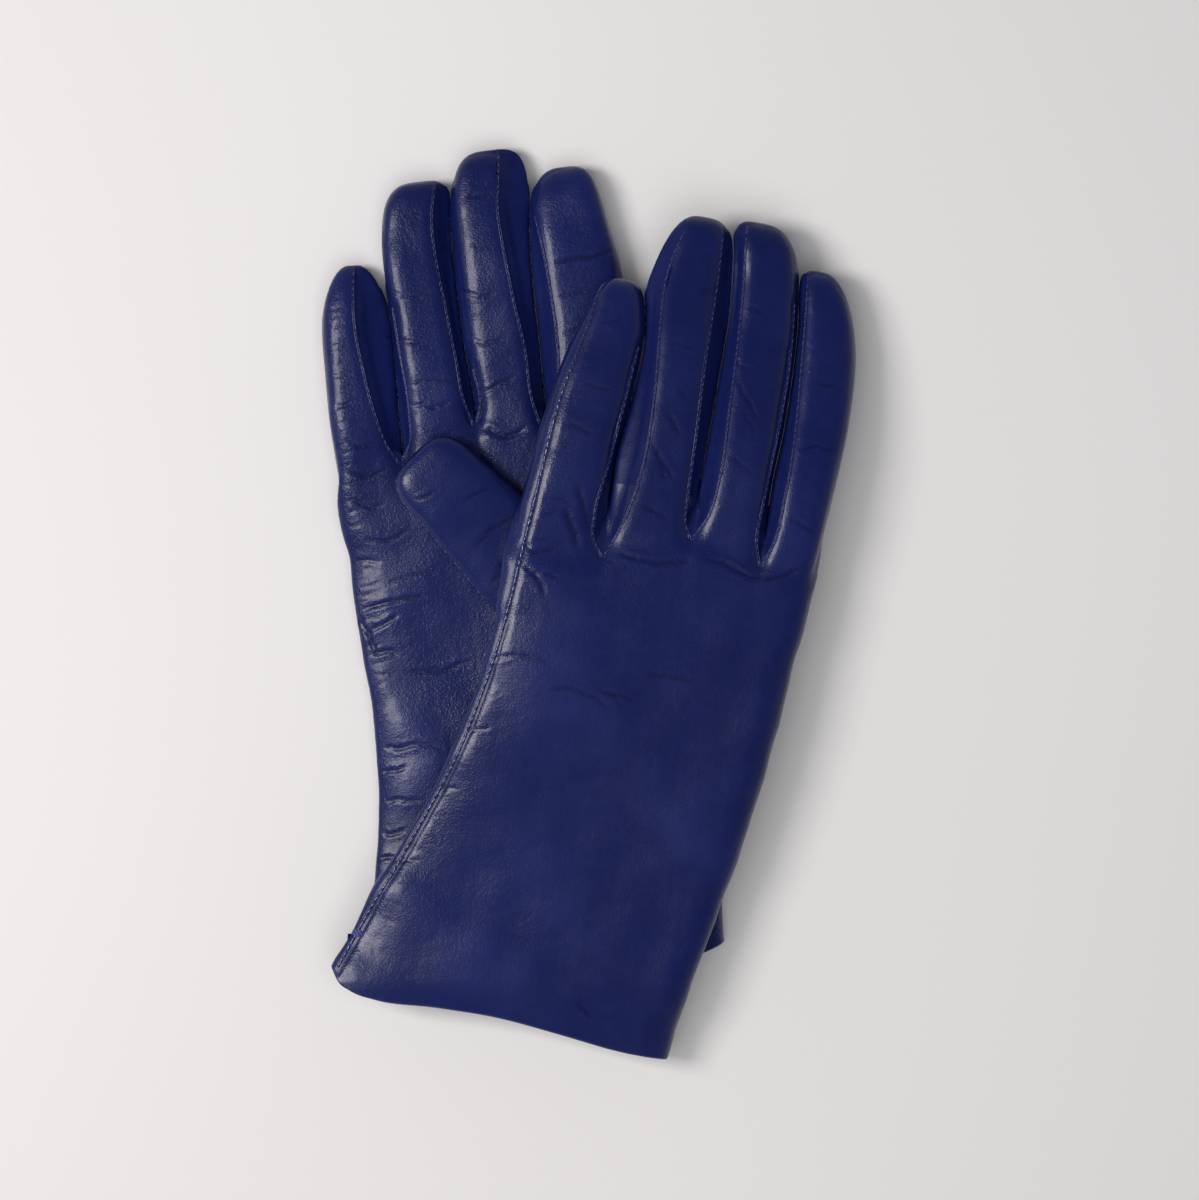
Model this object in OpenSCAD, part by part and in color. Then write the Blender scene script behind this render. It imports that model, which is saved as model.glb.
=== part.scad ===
// A pair of lined leather dress gloves, laid flat: the right glove palm up on the table,
// the left glove back up across it. Millimetres, +Z up, Z = 0 is the table.

/* [Materials] */
// Thickness of the glove leather
leather_t = 0.8; // [0.6:0.1:1.0]
// Thickness of the knitted lining
lining_t = 0.9; // [0.6:0.1:1.0]
// Space between the leather and the lining, where the elastic lies
lining_gap = 0.4; // [0.4:0.1:0.6]
// Space left between two pieces that a seam joins
seam_gap = 0.12; // [0.1:0.02:0.2]

/* [Hand] */
// Thickness of the right hand, lying flat under the left glove
right_hand_h = 10; // [9:0.5:10]
// Thickness of the left hand
left_hand_h = 11; // [9:0.5:11]
// Thickness of both hands where the fingers start
knuckle_h = 11.5; // [10:0.5:12]
// Depth of the hem that is turned in at the cuff
hem_d = 10; // [6:1:14]
// Width of the elastic across the wrist
elastic_w = 6; // [4:1:8]

/* [Fingers] */
// Thickness of a finger between its knuckle and its tip
finger_h = 13; // [12:0.5:13]
// Length of the rounded end of a finger
tip_d = 10.5; // [9:0.5:11]
// Radius of the opening between a thumb and its hand
thumb_hole_r = 7; // [5:0.5:8]

/* [Motion] */
// Furthest curl of a right finger towards its palm, in degrees
right_curl = 60; // [20:5:60]
// Furthest lift of a left finger, in degrees
left_bend = 40; // [20:5:50]
// Free space between the two sides of a finger joint
joint_gap = 0.5; // [0.3:0.1:0.8]

/* [Hidden] */

leather_colour = [0.10, 0.11, 0.38];
lining_colour = [0.13, 0.12, 0.16];
thread_colour = [0.07, 0.08, 0.30];
elastic_colour = [0.85, 0.85, 0.82];

// Shift that puts the middle of the pair's outline over the origin.
centre_shift = [1.6, 0];

// The fingers of each glove lie side by side, across a line that is turned by this angle.
right_turn = 6.7;
left_turn = -9.9;
// Where the finger joints are along the fingers, measured from the middle of the pair.
right_joint_v = 58;
left_joint_v = 43;
right_index_joint_v = 101;

// Hand outlines from the cuff to the knuckles: little-finger edge, then index edge.
right_hand_edges = [
    [[-65, -107], [38.4, -101.3]],
    [[-64.3, -88], [35.5, -88]],
    [[-63.4, -70], [31, -71]],
    [[-63.5, -54], [27.2, -54]],
    [[-64.7, -36], [24, -36]],
    [[-68, -10], [18.6, -10]],
    [[-71.5, 14], [15.4, 16]]
];
left_hand_edges = [
    [[-75, -106.5], [20.6, -131.6]],
    [[-64, -85], [31.9, -104]],
    [[-49, -58.5], [41.6, -76.2]],
    [[-38.7, -35], [49, -52.6]],
    [[-30.7, -11.5], [56.3, -26.2]],
    [[-25.2, 12.1], [61.2, -5.5]]
];

// Each finger is a list of [distance up the hand, place across it, half width].
// The last entry is the tip's [distance, place].
right_little = [[58, -60.4, 9.6], [78, -60.0, 9.8], [95.2, -59.2, 8.6], [105.7, -58.3]];
right_ring = [[58, -39.2, 10.0], [80, -39.4, 9.8], [106, -39.2, 10], [117.2, -37.6, 9.2], [127.7, -35.6]];
right_middle = [[58, -17.6, 9.8], [80, -17.8, 10.4], [110, -17, 11], [124.1, -15.6, 9.8], [134.6, -14.5]];
right_index = [[58, 6.3, 11.6], [80, 6.5, 11.9], [101, 6.6, 11.6], [116.4, 6.2, 10.0], [126.9, 6.3]];
left_little = [[43, -12.2, 10.8], [60, -10.6, 10.6], [83.1, -8.4, 8.9], [93.6, -9.2]];
left_ring = [[43, 11.9, 11.4], [60, 12.5, 10.9], [88, 12.2, 11.2], [104.5, 12.0, 9.6], [115, 12.4]];
left_middle = [[43, 35.0, 9.9], [60, 35.6, 9.9], [90, 34.7, 9.6], [106.3, 31.8, 8.8], [116.8, 28.5]];
left_index = [[43, 55.0, 8.4], [60, 55.2, 8.6], [82, 54.3, 8.3], [94.9, 52.3, 7.3], [105.4, 49.8]];

// Each thumb starts over its opening in the hand and runs along an angle in plan.
// Its rows are [distance, half width, half thickness, height of the middle].
right_thumb_root = [0, -10];
right_thumb_angle = 134.7;
right_thumb_joint = 46;
right_thumb = [[0, 15, 3.1, 13.4], [22, 15.6, 3.1, 13.5], [46, 13.6, 4.1, 15.4], [58, 12.4, 5.0, 16.9],
    [66, 10.8, 5.0, 17.1], [74.5]];
left_thumb_root = [40, -30];
left_thumb_angle = 93;
left_thumb = [[0, 12, 5.9, 6.3], [22, 12.2, 5.0, 5.4], [40, 11.2, 4.8, 5.2], [50.5, 10.2, 4.7, 5.1], [60]];

// How the left glove lies on the right one.
cuff_rest = 10.4;
thumb_rise = 7;
side_roll = 0.07;
little_drop = 2.5;
index_drop = 5;
cuff_drop = 5;

// Corners of the cross-sections: 2 is an ellipse, more is squarer.
hand_power = 3.6;
finger_power = 2.8;
thumb_power = 3;

// Where the seams run round a cross-section, from the index side, in degrees.
strip_edge = 40;
strip_edge_at_tip = 6;
left_side_seam = 160;
right_side_seam = 200;

thread_r = 0.35;
elastic_t = 0.24;
tack_l = 5;
tip_steps = [0, 0.45, 0.78, 0.95, 0.998];
all_round = [for (a = [0:15:345]) a];

lining_in = leather_t + lining_gap;
lining_out = lining_in + lining_t;

// ---------------------------------------------------------------- helpers

function clamp01(x) = min(1, max(0, x));
function smooth(x) = clamp01(x) * clamp01(x) * (3 - 2 * clamp01(x));
function signed_power(x, p) = sign(x) * pow(abs(x), p);
function turned(angle, u, v) = [u * cos(angle) - v * sin(angle), u * sin(angle) + v * cos(angle)];
function steps(a, b, n) = [for (i = [0:n]) a + (b - a) * i / n];

// Height of the underside of the left glove over the table at a point in plan.
function left_rest(x, y) =
    let (u = x * cos(left_turn) + y * sin(left_turn), v = y * cos(left_turn) - x * sin(left_turn))
    cuff_rest + thumb_rise * smooth((y + 100) / 95) - cuff_drop * smooth((-109 - y) / 26)
    - side_roll * smooth((y + 80) / 80) * x
    - (little_drop + index_drop * smooth((u + 10) / 60)) * smooth((v - left_joint_v) / 60);
function rest(side, x, y) = side == "left" ? left_rest(x, y) : 0;

// A station is [middle in plan, half width as a vector, half thickness, height, joint cut].
// A joint cut is [direction, offset along it, extra offset per millimetre above the middle].
function inset_station(s, d) =
    [s[0], s[1] * (1 - d / norm(s[1])), s[2] - d, s[3], s[4]];
function ring_point(side, s, a, power) =
    let (
        up = s[2] * signed_power(sin(a), 2 / power),
        p = s[0] + s[1] * signed_power(cos(a), 2 / power)
            + s[4][0] * (s[4][1] + s[4][2] * max(0, up))
    )
    [p[0] + centre_shift[0], p[1] + centre_shift[1], rest(side, p[0], p[1]) + s[3] + up];
function ring(side, s, angles, power) = [for (a = angles) ring_point(side, s, a, power)];
no_cut = [[0, 0], 0, 0];

// ---------------------------------------------------------------- solids

function flat(rows) = [for (r = rows) each r];
// Two triangles for each cell of a grid, seen from the outside when flip is false.
function grid_faces(rows, cols, first, flip, wrap) =
    [for (i = [0:rows - 2]) for (j = [0:cols - (wrap ? 1 : 2)])
        let (
            k = (j + 1) % cols,
            a = first + i * cols + j, b = first + i * cols + k,
            c = first + (i + 1) * cols + k, d = first + (i + 1) * cols + j
        )
        each flip ? [[a, c, b], [a, d, c]] : [[a, b, c], [a, c, d]]];
// Two triangles between each pair of matching edge points.
function edge_faces(outer, inner, flip) =
    [for (i = [0:len(outer) - 2])
        each flip ? [[outer[i], inner[i], inner[i + 1]], [outer[i], inner[i + 1], outer[i + 1]]]
                  : [[outer[i], inner[i + 1], inner[i]], [outer[i], outer[i + 1], inner[i + 1]]]];
function closed(list) = concat(list, [list[0]]);

// A plate of leather between an outer and an inner grid of points.
module plate(outer, inner) {
    rows = len(outer);
    cols = len(outer[0]);
    n = rows * cols;
    first_row = [for (j = [0:cols - 1]) j];
    last_row = [for (j = [0:cols - 1]) (rows - 1) * cols + j];
    first_col = [for (i = [0:rows - 1]) i * cols];
    last_col = [for (i = [0:rows - 1]) i * cols + cols - 1];
    function inside(list) = [for (k = list) k + n];
    polyhedron(concat(flat(outer), flat(inner)), concat(
        grid_faces(rows, cols, 0, false, false),
        grid_faces(rows, cols, n, true, false),
        edge_faces(first_row, inside(first_row), true),
        edge_faces(last_row, inside(last_row), false),
        edge_faces(first_col, inside(first_col), false),
        edge_faces(last_col, inside(last_col), true)
    ), convexity = 8);
}

// A sock with an open first row and a closed last row.
module sock(outer, inner) {
    rows = len(outer);
    cols = len(outer[0]);
    n = rows * cols;
    last = (rows - 1) * cols;
    first_row = closed([for (j = [0:cols - 1]) j]);
    function inside(list) = [for (k = list) k + n];
    polyhedron(concat(flat(outer), flat(inner)), concat(
        grid_faces(rows, cols, 0, false, true),
        grid_faces(rows, cols, n, true, true),
        edge_faces(first_row, inside(first_row), true),
        [for (j = [1:cols - 2]) [last, last + j, last + j + 1]],
        [for (j = [1:cols - 2]) [n + last, n + last + j + 1, n + last + j]]
    ), convexity = 8);
}

// A closed body through a list of rings.
module body(rings) {
    rows = len(rings);
    cols = len(rings[0]);
    last = (rows - 1) * cols;
    polyhedron(flat(rings), concat(
        grid_faces(rows, cols, 0, false, true),
        [for (j = [1:cols - 2]) [0, j + 1, j]],
        [for (j = [1:cols - 2]) [last, last + j, last + j + 1]]
    ), convexity = 8);
}

// A sleeve that is open at both ends.
module sleeve(outer, inner) {
    rows = len(outer);
    cols = len(outer[0]);
    n = rows * cols;
    function inside(list) = [for (k = list) k + n];
    first_row = closed([for (j = [0:cols - 1]) j]);
    last_row = closed([for (j = [0:cols - 1]) (rows - 1) * cols + j]);
    polyhedron(concat(flat(outer), flat(inner)), concat(
        grid_faces(rows, cols, 0, false, true),
        grid_faces(rows, cols, n, true, true),
        edge_faces(first_row, inside(first_row), true),
        edge_faces(last_row, inside(last_row), false)
    ), convexity = 8);
}

// ---------------------------------------------------------------- hands

function hand_edges(side) = side == "left" ? left_hand_edges : right_hand_edges;
function hand_turn(side) = side == "left" ? left_turn : right_turn;
function hand_h(side) = side == "left" ? left_hand_h : right_hand_h;
function joint_v(side) = side == "left" ? left_joint_v : right_joint_v;
function max_bend(side) = side == "left" ? left_bend : right_curl;
function side_seam(side) = side == "left" ? left_side_seam : right_side_seam;
function knuckle_edge(side, sign) =
    side == "left" ? turned(left_turn, sign > 0 ? 63.6 : -23.4, left_joint_v)
                   : turned(right_turn, sign > 0 ? 19 : -69.8, right_joint_v);

// The cut across the end of the hand, sloped so that the fingers can bend up.
function hand_cut(side) =
    [turned(hand_turn(side), 0, 1), -joint_gap / 2, -tan(max_bend(side) / 2)];

function edge_station(side, i) =
    let (e = hand_edges(side)[i], h = hand_h(side) / 2) [(e[0] + e[1]) / 2, (e[1] - e[0]) / 2, h, h, no_cut];
function knuckle_station(side) =
    let (a = knuckle_edge(side, -1), b = knuckle_edge(side, 1))
    [(a + b) / 2, (b - a) / 2, knuckle_h / 2, knuckle_h / 2, hand_cut(side)];

// A station part of the way from one to the next.
function between(s, t, k) =
    [s[0] + (t[0] - s[0]) * k, s[1] + (t[1] - s[1]) * k, s[2] + (t[2] - s[2]) * k,
        s[3] + (t[3] - s[3]) * k, no_cut];
// A station at a distance from the cuff, and one at the wrist beside the elastic's middle.
function hem_station(side, d) =
    let (s = edge_station(side, 0), t = edge_station(side, 1)) between(s, t, d / norm(t[0] - s[0]));
function wrist_station(side, d) =
    let (s = edge_station(side, 2), t = edge_station(side, 3)) between(s, t, 0.5 + d / norm(t[0] - s[0]));

// The rows that the leather and the lining share, so that they keep their distance.
function hand_stations(side) = concat(
    [edge_station(side, 0), hem_station(side, hem_d + 1), edge_station(side, 1), edge_station(side, 2),
        wrist_station(side, -elastic_w / 2), wrist_station(side, elastic_w / 2)],
    [for (i = [3:len(hand_edges(side)) - 1]) edge_station(side, i)],
    [knuckle_station(side)]
);

function hand_rings(side, stations, d, angles) =
    [for (s = stations) ring(side, inset_station(s, d), angles, hand_power)];

function around(side, gap) = steps(side_seam(side) + gap, side_seam(side) + 360 - gap, 26);

module hand_leather(side, root, low, high) {
    s = hand_stations(side);
    difference() {
        plate(hand_rings(side, s, 0, around(side, 0.6)),
            hand_rings(side, s, leather_t, around(side, 0.6)));
        thumb_opening(root, low, high);
    }
}

module hand_lining(side, root, low, high) {
    s = hand_stations(side);
    upper = [for (i = [1:len(s) - 1]) s[i]];
    difference() {
        sleeve(hand_rings(side, upper, lining_in, all_round),
            hand_rings(side, upper, lining_out, all_round));
        thumb_opening(root, low, high);
    }
}

module thumb_opening(root, low, high)
    translate([root[0] + centre_shift[0], root[1] + centre_shift[1], low])
        cylinder(r = thumb_hole_r, h = high - low, $fn = 12);

module cuff_hem(side) {
    s = [hem_station(side, 0.4), hem_station(side, hem_d)];
    turned_in = leather_t + 0.15;
    plate(hand_rings(side, s, turned_in, around(side, 1)),
        hand_rings(side, s, turned_in + leather_t, around(side, 1)));
}

// The elastic is a tape across the palm side of the wrist, inside the leather.
module wrist_elastic(side) {
    palm = side == "left" ? steps(215, 325, 12) : steps(35, 145, 12);
    tape = [wrist_station(side, -elastic_w / 2), wrist_station(side, elastic_w / 2)];
    plate(hand_rings(side, tape, leather_t + 0.08, palm),
        hand_rings(side, tape, leather_t + 0.08 + elastic_t, palm));
}

// The thread of the side seam lies along the slit in the leather.
module side_seam_thread(side) {
    s = hand_stations(side);
    run = concat([hem_station(side, hem_d + 3)], [for (i = [2:len(s) - 2]) s[i]],
        [between(s[len(s) - 2], s[len(s) - 1], 0.8)]);
    line = [for (t = run) ring_point(side, inset_station(t, -thread_r - 0.1), side_seam(side), hand_power)];
    body([for (i = [0:len(line) - 1])
        let (d = line[min(i + 1, len(line) - 1)] - line[max(i - 1, 0)], t = d / norm(d),
            a = cross(t, [0, 0, 1]) / norm(cross(t, [0, 0, 1])), b = cross(a, t))
        [for (q = [0:60:300]) line[i] + thread_r * (cos(q) * a + sin(q) * b)]]);
}

// The tack closes the hem across the side seam.
module seam_tack(side) {
    s = hem_station(side, hem_d);
    out = -0.75;
    a = ring_point(side, inset_station(s, out), side_seam(side) - tack_l, hand_power);
    b = ring_point(side, inset_station(s, out), side_seam(side) + tack_l, hand_power);
    d = b - a;
    t = d / norm(d);
    w = cross(t, [0, 0, 1]) / norm(cross(t, [0, 0, 1]));
    n = cross(w, t);
    body([for (p = [a, b]) [for (q = [0:60:300]) p + 0.5 * (cos(q) * w + sin(q) * n)]]);
}

// ---------------------------------------------------------------- fingers

function finger_b(v, v0) = (knuckle_h + (finger_h - knuckle_h) * smooth((v - v0) / 20)) / 2;

function finger_station(side, v, u, w, b, z, cut) =
    [turned(hand_turn(side), u, v), turned(hand_turn(side), w, 0), b, z, cut];

// The cut across the root of a finger, sloped so that it can bend up.
function root_cut(side, bend) = [turned(hand_turn(side), 0, 1), joint_gap / 2, tan(bend / 2)];
function end_cut(side, bend) = [turned(hand_turn(side), 0, 1), -joint_gap / 2, -tan(bend / 2)];

// Stations of a finger from row a to row b, each of them d inside the outer surface.
function finger_rows(side, f, a, b, d, cut_a, cut_b) =
    [for (i = [a:b]) let (h = finger_b(f[i][0], f[0][0]))
        finger_station(side, f[i][0], f[i][1], f[i][2] - d, h - d, h,
            i == a ? cut_a : i == b ? cut_b : no_cut)];
// Stations of the rounded end.
function finger_end(side, f, d) =
    let (last = f[len(f) - 2], tip = f[len(f) - 1], h = finger_b(last[0], f[0][0]))
    [for (i = [1:len(tip_steps) - 1]) let (k = tip_steps[i], c = sqrt(1 - k * k))
        finger_station(side, last[0] + (tip[0] - d - last[0]) * k, last[1] + (tip[1] - last[1]) * k,
            (last[2] - d) * c, (h - d) * c, h, no_cut)];
function whole_finger(side, f, a, d, cut) =
    concat(finger_rows(side, f, a, len(f) - 2, d, cut, no_cut), finger_end(side, f, d));

// One panel of a finger between two angles, which close on each other towards the tip.
function panel(side, stations, from, to, from_tip, to_tip, n) =
    [for (s = stations) let (k = smooth((finger_power_share(s, stations) - 0.35) / 0.6))
        ring(side, s, steps(from + (from_tip - from) * k, to + (to_tip - to) * k, n), finger_power)];
// How far a station is along its finger's rounded end, from 0 to 1.
function finger_power_share(s, stations) =
    1 - norm(s[1]) / max([for (t = stations) norm(t[1])]);

module finger_panel(side, outer, inner, from, to, from_tip, to_tip, n)
    plate(panel(side, outer, from, to, from_tip, to_tip, n),
        panel(side, inner, from, to, from_tip, to_tip, n));

seam_a = 0.7;
top_strip = [strip_edge + seam_a, 180 - strip_edge - seam_a, strip_edge_at_tip, 180 - strip_edge_at_tip];
bottom_strip = [180 + strip_edge + seam_a, 360 - strip_edge - seam_a,
    180 + strip_edge_at_tip, 360 - strip_edge_at_tip];
index_side = [-strip_edge + seam_a, strip_edge - seam_a, -strip_edge_at_tip + 3, strip_edge_at_tip - 3];
little_side = [180 - strip_edge + seam_a, 180 + strip_edge - seam_a,
    180 - strip_edge_at_tip + 3, 180 + strip_edge_at_tip - 3];
// The index finger's leather runs from seam to seam round its outer side.
index_wrap = [-180 + strip_edge + seam_a, 180 - strip_edge - seam_a,
    -180 + strip_edge_at_tip, 180 - strip_edge_at_tip];

module strip(side, outer, inner, p, n)
    finger_panel(side, outer, inner, p[0], p[1], p[2], p[3], n);

// The little finger's strips meet at the side seam.
function little_top(side) = [strip_edge + seam_a, side_seam(side) - seam_a,
    strip_edge_at_tip, side_seam(side) - seam_a];
function little_bottom(side) = [side_seam(side) + seam_a, 360 - strip_edge - seam_a,
    side_seam(side) + seam_a, 360 - strip_edge_at_tip];

module middle_strips(side, outer, inner) {
    strip(side, outer, inner, top_strip, 6);
    strip(side, outer, inner, bottom_strip, 6);
}
module little_strips(side, outer, inner) {
    strip(side, outer, inner, little_top(side), 8);
    strip(side, outer, inner, little_bottom(side), 8);
}
module both_fourchettes(side, outer, inner) {
    strip(side, outer, inner, index_side, 4);
    strip(side, outer, inner, little_side, 4);
}

function skin(side, f) = whole_finger(side, f, 0, 0, root_cut(side, max_bend(side)));
function flesh(side, f) = whole_finger(side, f, 0, leather_t, root_cut(side, max_bend(side)));

module finger_lining(side, f)
    sock([for (s = whole_finger(side, f, 0, lining_in, root_cut(side, max_bend(side))))
            ring(side, s, all_round, finger_power)],
        [for (s = whole_finger(side, f, 0, lining_out, root_cut(side, max_bend(side))))
            ring(side, s, all_round, finger_power)]);

// The right index finger is held down by the left glove, so only its tip bends.
tip_bend = 50;
function index_base(d) = finger_rows("right", right_index, 0, 2, d,
    [turned(right_turn, 0, 1), joint_gap / 2, 0], end_cut("right", tip_bend));
function index_tip(d) = whole_finger("right", right_index, 2, d, root_cut("right", tip_bend));

// ---------------------------------------------------------------- thumbs

function thumb_station(root, angle, w, half, b, z, cut) =
    [root + w * [cos(angle), sin(angle)], half * [sin(angle), -cos(angle)], b, z, cut];
function thumb_cut(angle, bend, way) =
    [[cos(angle), sin(angle)], way * joint_gap / 2, way * tan(bend / 2)];
function thumb_rows(root, angle, t, a, b, d, cut_a, cut_b) =
    [for (i = [a:b]) thumb_station(root, angle, t[i][0], t[i][1] - d, t[i][2] - d, t[i][3],
        i == a ? cut_a : i == b ? cut_b : no_cut)];
function thumb_end(root, angle, t, d) =
    let (last = t[len(t) - 2], tip = t[len(t) - 1][0])
    [for (i = [1:len(tip_steps) - 1]) let (k = tip_steps[i], c = sqrt(1 - k * k))
        thumb_station(root, angle, last[0] + (tip - d - last[0]) * k, (last[1] - d) * c,
            (last[2] - d) * c, last[3], no_cut)];
// The rounded heel behind the opening, from its far end forwards.
function thumb_heel(root, angle, t, d) =
    [for (i = [len(tip_steps) - 1:-1:1]) let (k = tip_steps[i], c = sqrt(1 - k * k))
        thumb_station(root, angle, -(t[0][1] - d) * k, (t[0][1] - d) * c,
            (t[0][2] - d) * c, t[0][3], no_cut)];

function thumb_rings(stations) = [for (s = stations) ring("right", s, all_round, thumb_power)];
function reversed(list) = [for (i = [len(list) - 1:-1:0]) list[i]];

thumb_bend = 45;
function right_thumb_tip(d) =
    concat(thumb_rows(right_thumb_root, right_thumb_angle, right_thumb, 2, 4, d,
            thumb_cut(right_thumb_angle, thumb_bend, 1), no_cut),
        thumb_end(right_thumb_root, right_thumb_angle, right_thumb, d));
function right_thumb_base(d) =
    concat(thumb_heel(right_thumb_root, right_thumb_angle, right_thumb, d),
        thumb_rows(right_thumb_root, right_thumb_angle, right_thumb, 0, 2, d,
            no_cut, thumb_cut(right_thumb_angle, thumb_bend, -1)));
function left_whole_thumb(d) =
    concat(thumb_heel(left_thumb_root, left_thumb_angle, left_thumb, d),
        thumb_rows(left_thumb_root, left_thumb_angle, left_thumb, 0, 3, d, no_cut, no_cut),
        thumb_end(left_thumb_root, left_thumb_angle, left_thumb, d));

// A shell that is closed at its heel and open at the joint.
module thumb_base_shell(outer_d, inner_d)
    difference() {
        mirror_sock(thumb_rings(right_thumb_base(outer_d)), thumb_rings(right_thumb_base(inner_d)));
        thumb_opening(right_thumb_root, 0, right_thumb[0][3]);
    }
// A sock whose closed end is its first row.
module mirror_sock(outer, inner)
    sock([for (r = reversed(outer)) reversed(r)], [for (r = reversed(inner)) reversed(r)]);

module left_thumb_shell(outer_d, inner_d)
    difference() {
        body(thumb_rings(left_whole_thumb(outer_d)));
        body(thumb_rings(left_whole_thumb(inner_d)));
        thumb_opening(left_thumb_root, left_thumb[0][3], left_thumb[0][3] + 20);
    }

// ---------------------------------------------------------------- nodes

module leather() color(leather_colour) children();
module lining() color(lining_colour) children();
module thread() color(thread_colour) children();

module show(name) children();

show("right_hand_leather") leather() hand_leather("right", right_thumb_root, 5, 13);
show("right_cuff_hem") leather() cuff_hem("right");
show("right_hand_lining") lining() hand_lining("right", right_thumb_root, 5, 13);
show("right_wrist_elastic") color(elastic_colour) wrist_elastic("right");
show("right_side_seam_thread") thread() side_seam_thread("right");
show("right_seam_tack") thread() seam_tack("right");
show("right_index_base_leather") leather() strip("right", index_base(0), index_base(leather_t), [for (i = [0, 1, 0, 1]) index_wrap[i]], 14);
show("right_index_base_fourchette") leather() strip("right", index_base(0), index_base(leather_t), [for (i = [0, 1, 0, 1]) little_side[i]], 4);
show("right_index_base_lining") lining() sleeve([for (s = index_base(lining_in)) ring("right", s, all_round, finger_power)], [for (s = index_base(lining_out)) ring("right", s, all_round, finger_power)]);
show("right_thumb_base_leather") leather() thumb_base_shell(0, leather_t);
show("right_thumb_base_lining") lining() thumb_base_shell(lining_in, lining_out);
show("right_little_leather") leather() little_strips("right", skin("right", right_little), flesh("right", right_little));
show("right_little_fourchette") leather() strip("right", skin("right", right_little), flesh("right", right_little), index_side, 4);
show("right_little_lining") lining() finger_lining("right", right_little);
show("right_ring_leather") leather() middle_strips("right", skin("right", right_ring), flesh("right", right_ring));
show("right_ring_fourchettes") leather() both_fourchettes("right", skin("right", right_ring), flesh("right", right_ring));
show("right_ring_lining") lining() finger_lining("right", right_ring);
show("right_middle_leather") leather() middle_strips("right", skin("right", right_middle), flesh("right", right_middle));
show("right_middle_fourchettes") leather() both_fourchettes("right", skin("right", right_middle), flesh("right", right_middle));
show("right_middle_lining") lining() finger_lining("right", right_middle);
show("right_index_tip_leather") leather() strip("right", index_tip(0), index_tip(leather_t), index_wrap, 14);
show("right_index_tip_fourchette") leather() strip("right", index_tip(0), index_tip(leather_t), little_side, 4);
show("right_index_tip_lining") lining() sock([for (s = index_tip(lining_in)) ring("right", s, all_round, finger_power)], [for (s = index_tip(lining_out)) ring("right", s, all_round, finger_power)]);
show("right_thumb_tip_leather") leather() sock(thumb_rings(right_thumb_tip(0)), thumb_rings(right_thumb_tip(leather_t)));
show("right_thumb_tip_lining") lining() sock(thumb_rings(right_thumb_tip(lining_in)), thumb_rings(right_thumb_tip(lining_out)));
show("left_hand_leather") leather() hand_leather("left", left_thumb_root, 0, 17);
show("left_cuff_hem") leather() cuff_hem("left");
show("left_hand_lining") lining() hand_lining("left", left_thumb_root, 0, 17);
show("left_wrist_elastic") color(elastic_colour) wrist_elastic("left");
show("left_side_seam_thread") thread() side_seam_thread("left");
show("left_seam_tack") thread() seam_tack("left");
show("left_little_leather") leather() little_strips("left", skin("left", left_little), flesh("left", left_little));
show("left_little_fourchette") leather() strip("left", skin("left", left_little), flesh("left", left_little), index_side, 4);
show("left_little_lining") lining() finger_lining("left", left_little);
show("left_ring_leather") leather() middle_strips("left", skin("left", left_ring), flesh("left", left_ring));
show("left_ring_fourchettes") leather() both_fourchettes("left", skin("left", left_ring), flesh("left", left_ring));
show("left_ring_lining") lining() finger_lining("left", left_ring);
show("left_middle_leather") leather() middle_strips("left", skin("left", left_middle), flesh("left", left_middle));
show("left_middle_fourchettes") leather() both_fourchettes("left", skin("left", left_middle), flesh("left", left_middle));
show("left_middle_lining") lining() finger_lining("left", left_middle);
show("left_index_leather") leather() strip("left", skin("left", left_index), flesh("left", left_index), index_wrap, 14);
show("left_index_fourchette") leather() strip("left", skin("left", left_index), flesh("left", left_index), little_side, 4);
show("left_index_lining") lining() finger_lining("left", left_index);
show("left_thumb_leather") leather() left_thumb_shell(0, leather_t);
show("left_thumb_lining") lining() left_thumb_shell(lining_in, lining_out);
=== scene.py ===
import math

import bpy
import numpy as np
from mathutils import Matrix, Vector
from mathutils.bvhtree import BVHTree


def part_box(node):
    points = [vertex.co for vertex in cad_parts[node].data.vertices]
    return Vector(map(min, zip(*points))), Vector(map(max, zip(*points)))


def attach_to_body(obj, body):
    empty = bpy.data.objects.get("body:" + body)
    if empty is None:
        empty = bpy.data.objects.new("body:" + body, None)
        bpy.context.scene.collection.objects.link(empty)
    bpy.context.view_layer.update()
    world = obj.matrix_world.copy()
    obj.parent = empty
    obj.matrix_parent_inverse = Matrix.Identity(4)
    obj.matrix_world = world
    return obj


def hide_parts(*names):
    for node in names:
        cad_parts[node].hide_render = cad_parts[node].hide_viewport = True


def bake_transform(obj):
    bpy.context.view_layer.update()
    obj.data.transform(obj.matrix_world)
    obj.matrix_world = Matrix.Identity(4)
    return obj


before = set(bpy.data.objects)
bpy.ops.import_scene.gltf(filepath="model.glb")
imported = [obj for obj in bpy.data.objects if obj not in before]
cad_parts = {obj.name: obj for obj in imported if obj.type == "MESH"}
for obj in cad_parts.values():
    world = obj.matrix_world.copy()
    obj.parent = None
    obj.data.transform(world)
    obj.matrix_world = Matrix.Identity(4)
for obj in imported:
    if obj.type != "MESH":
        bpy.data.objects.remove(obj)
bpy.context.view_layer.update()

MM = 0.001

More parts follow.
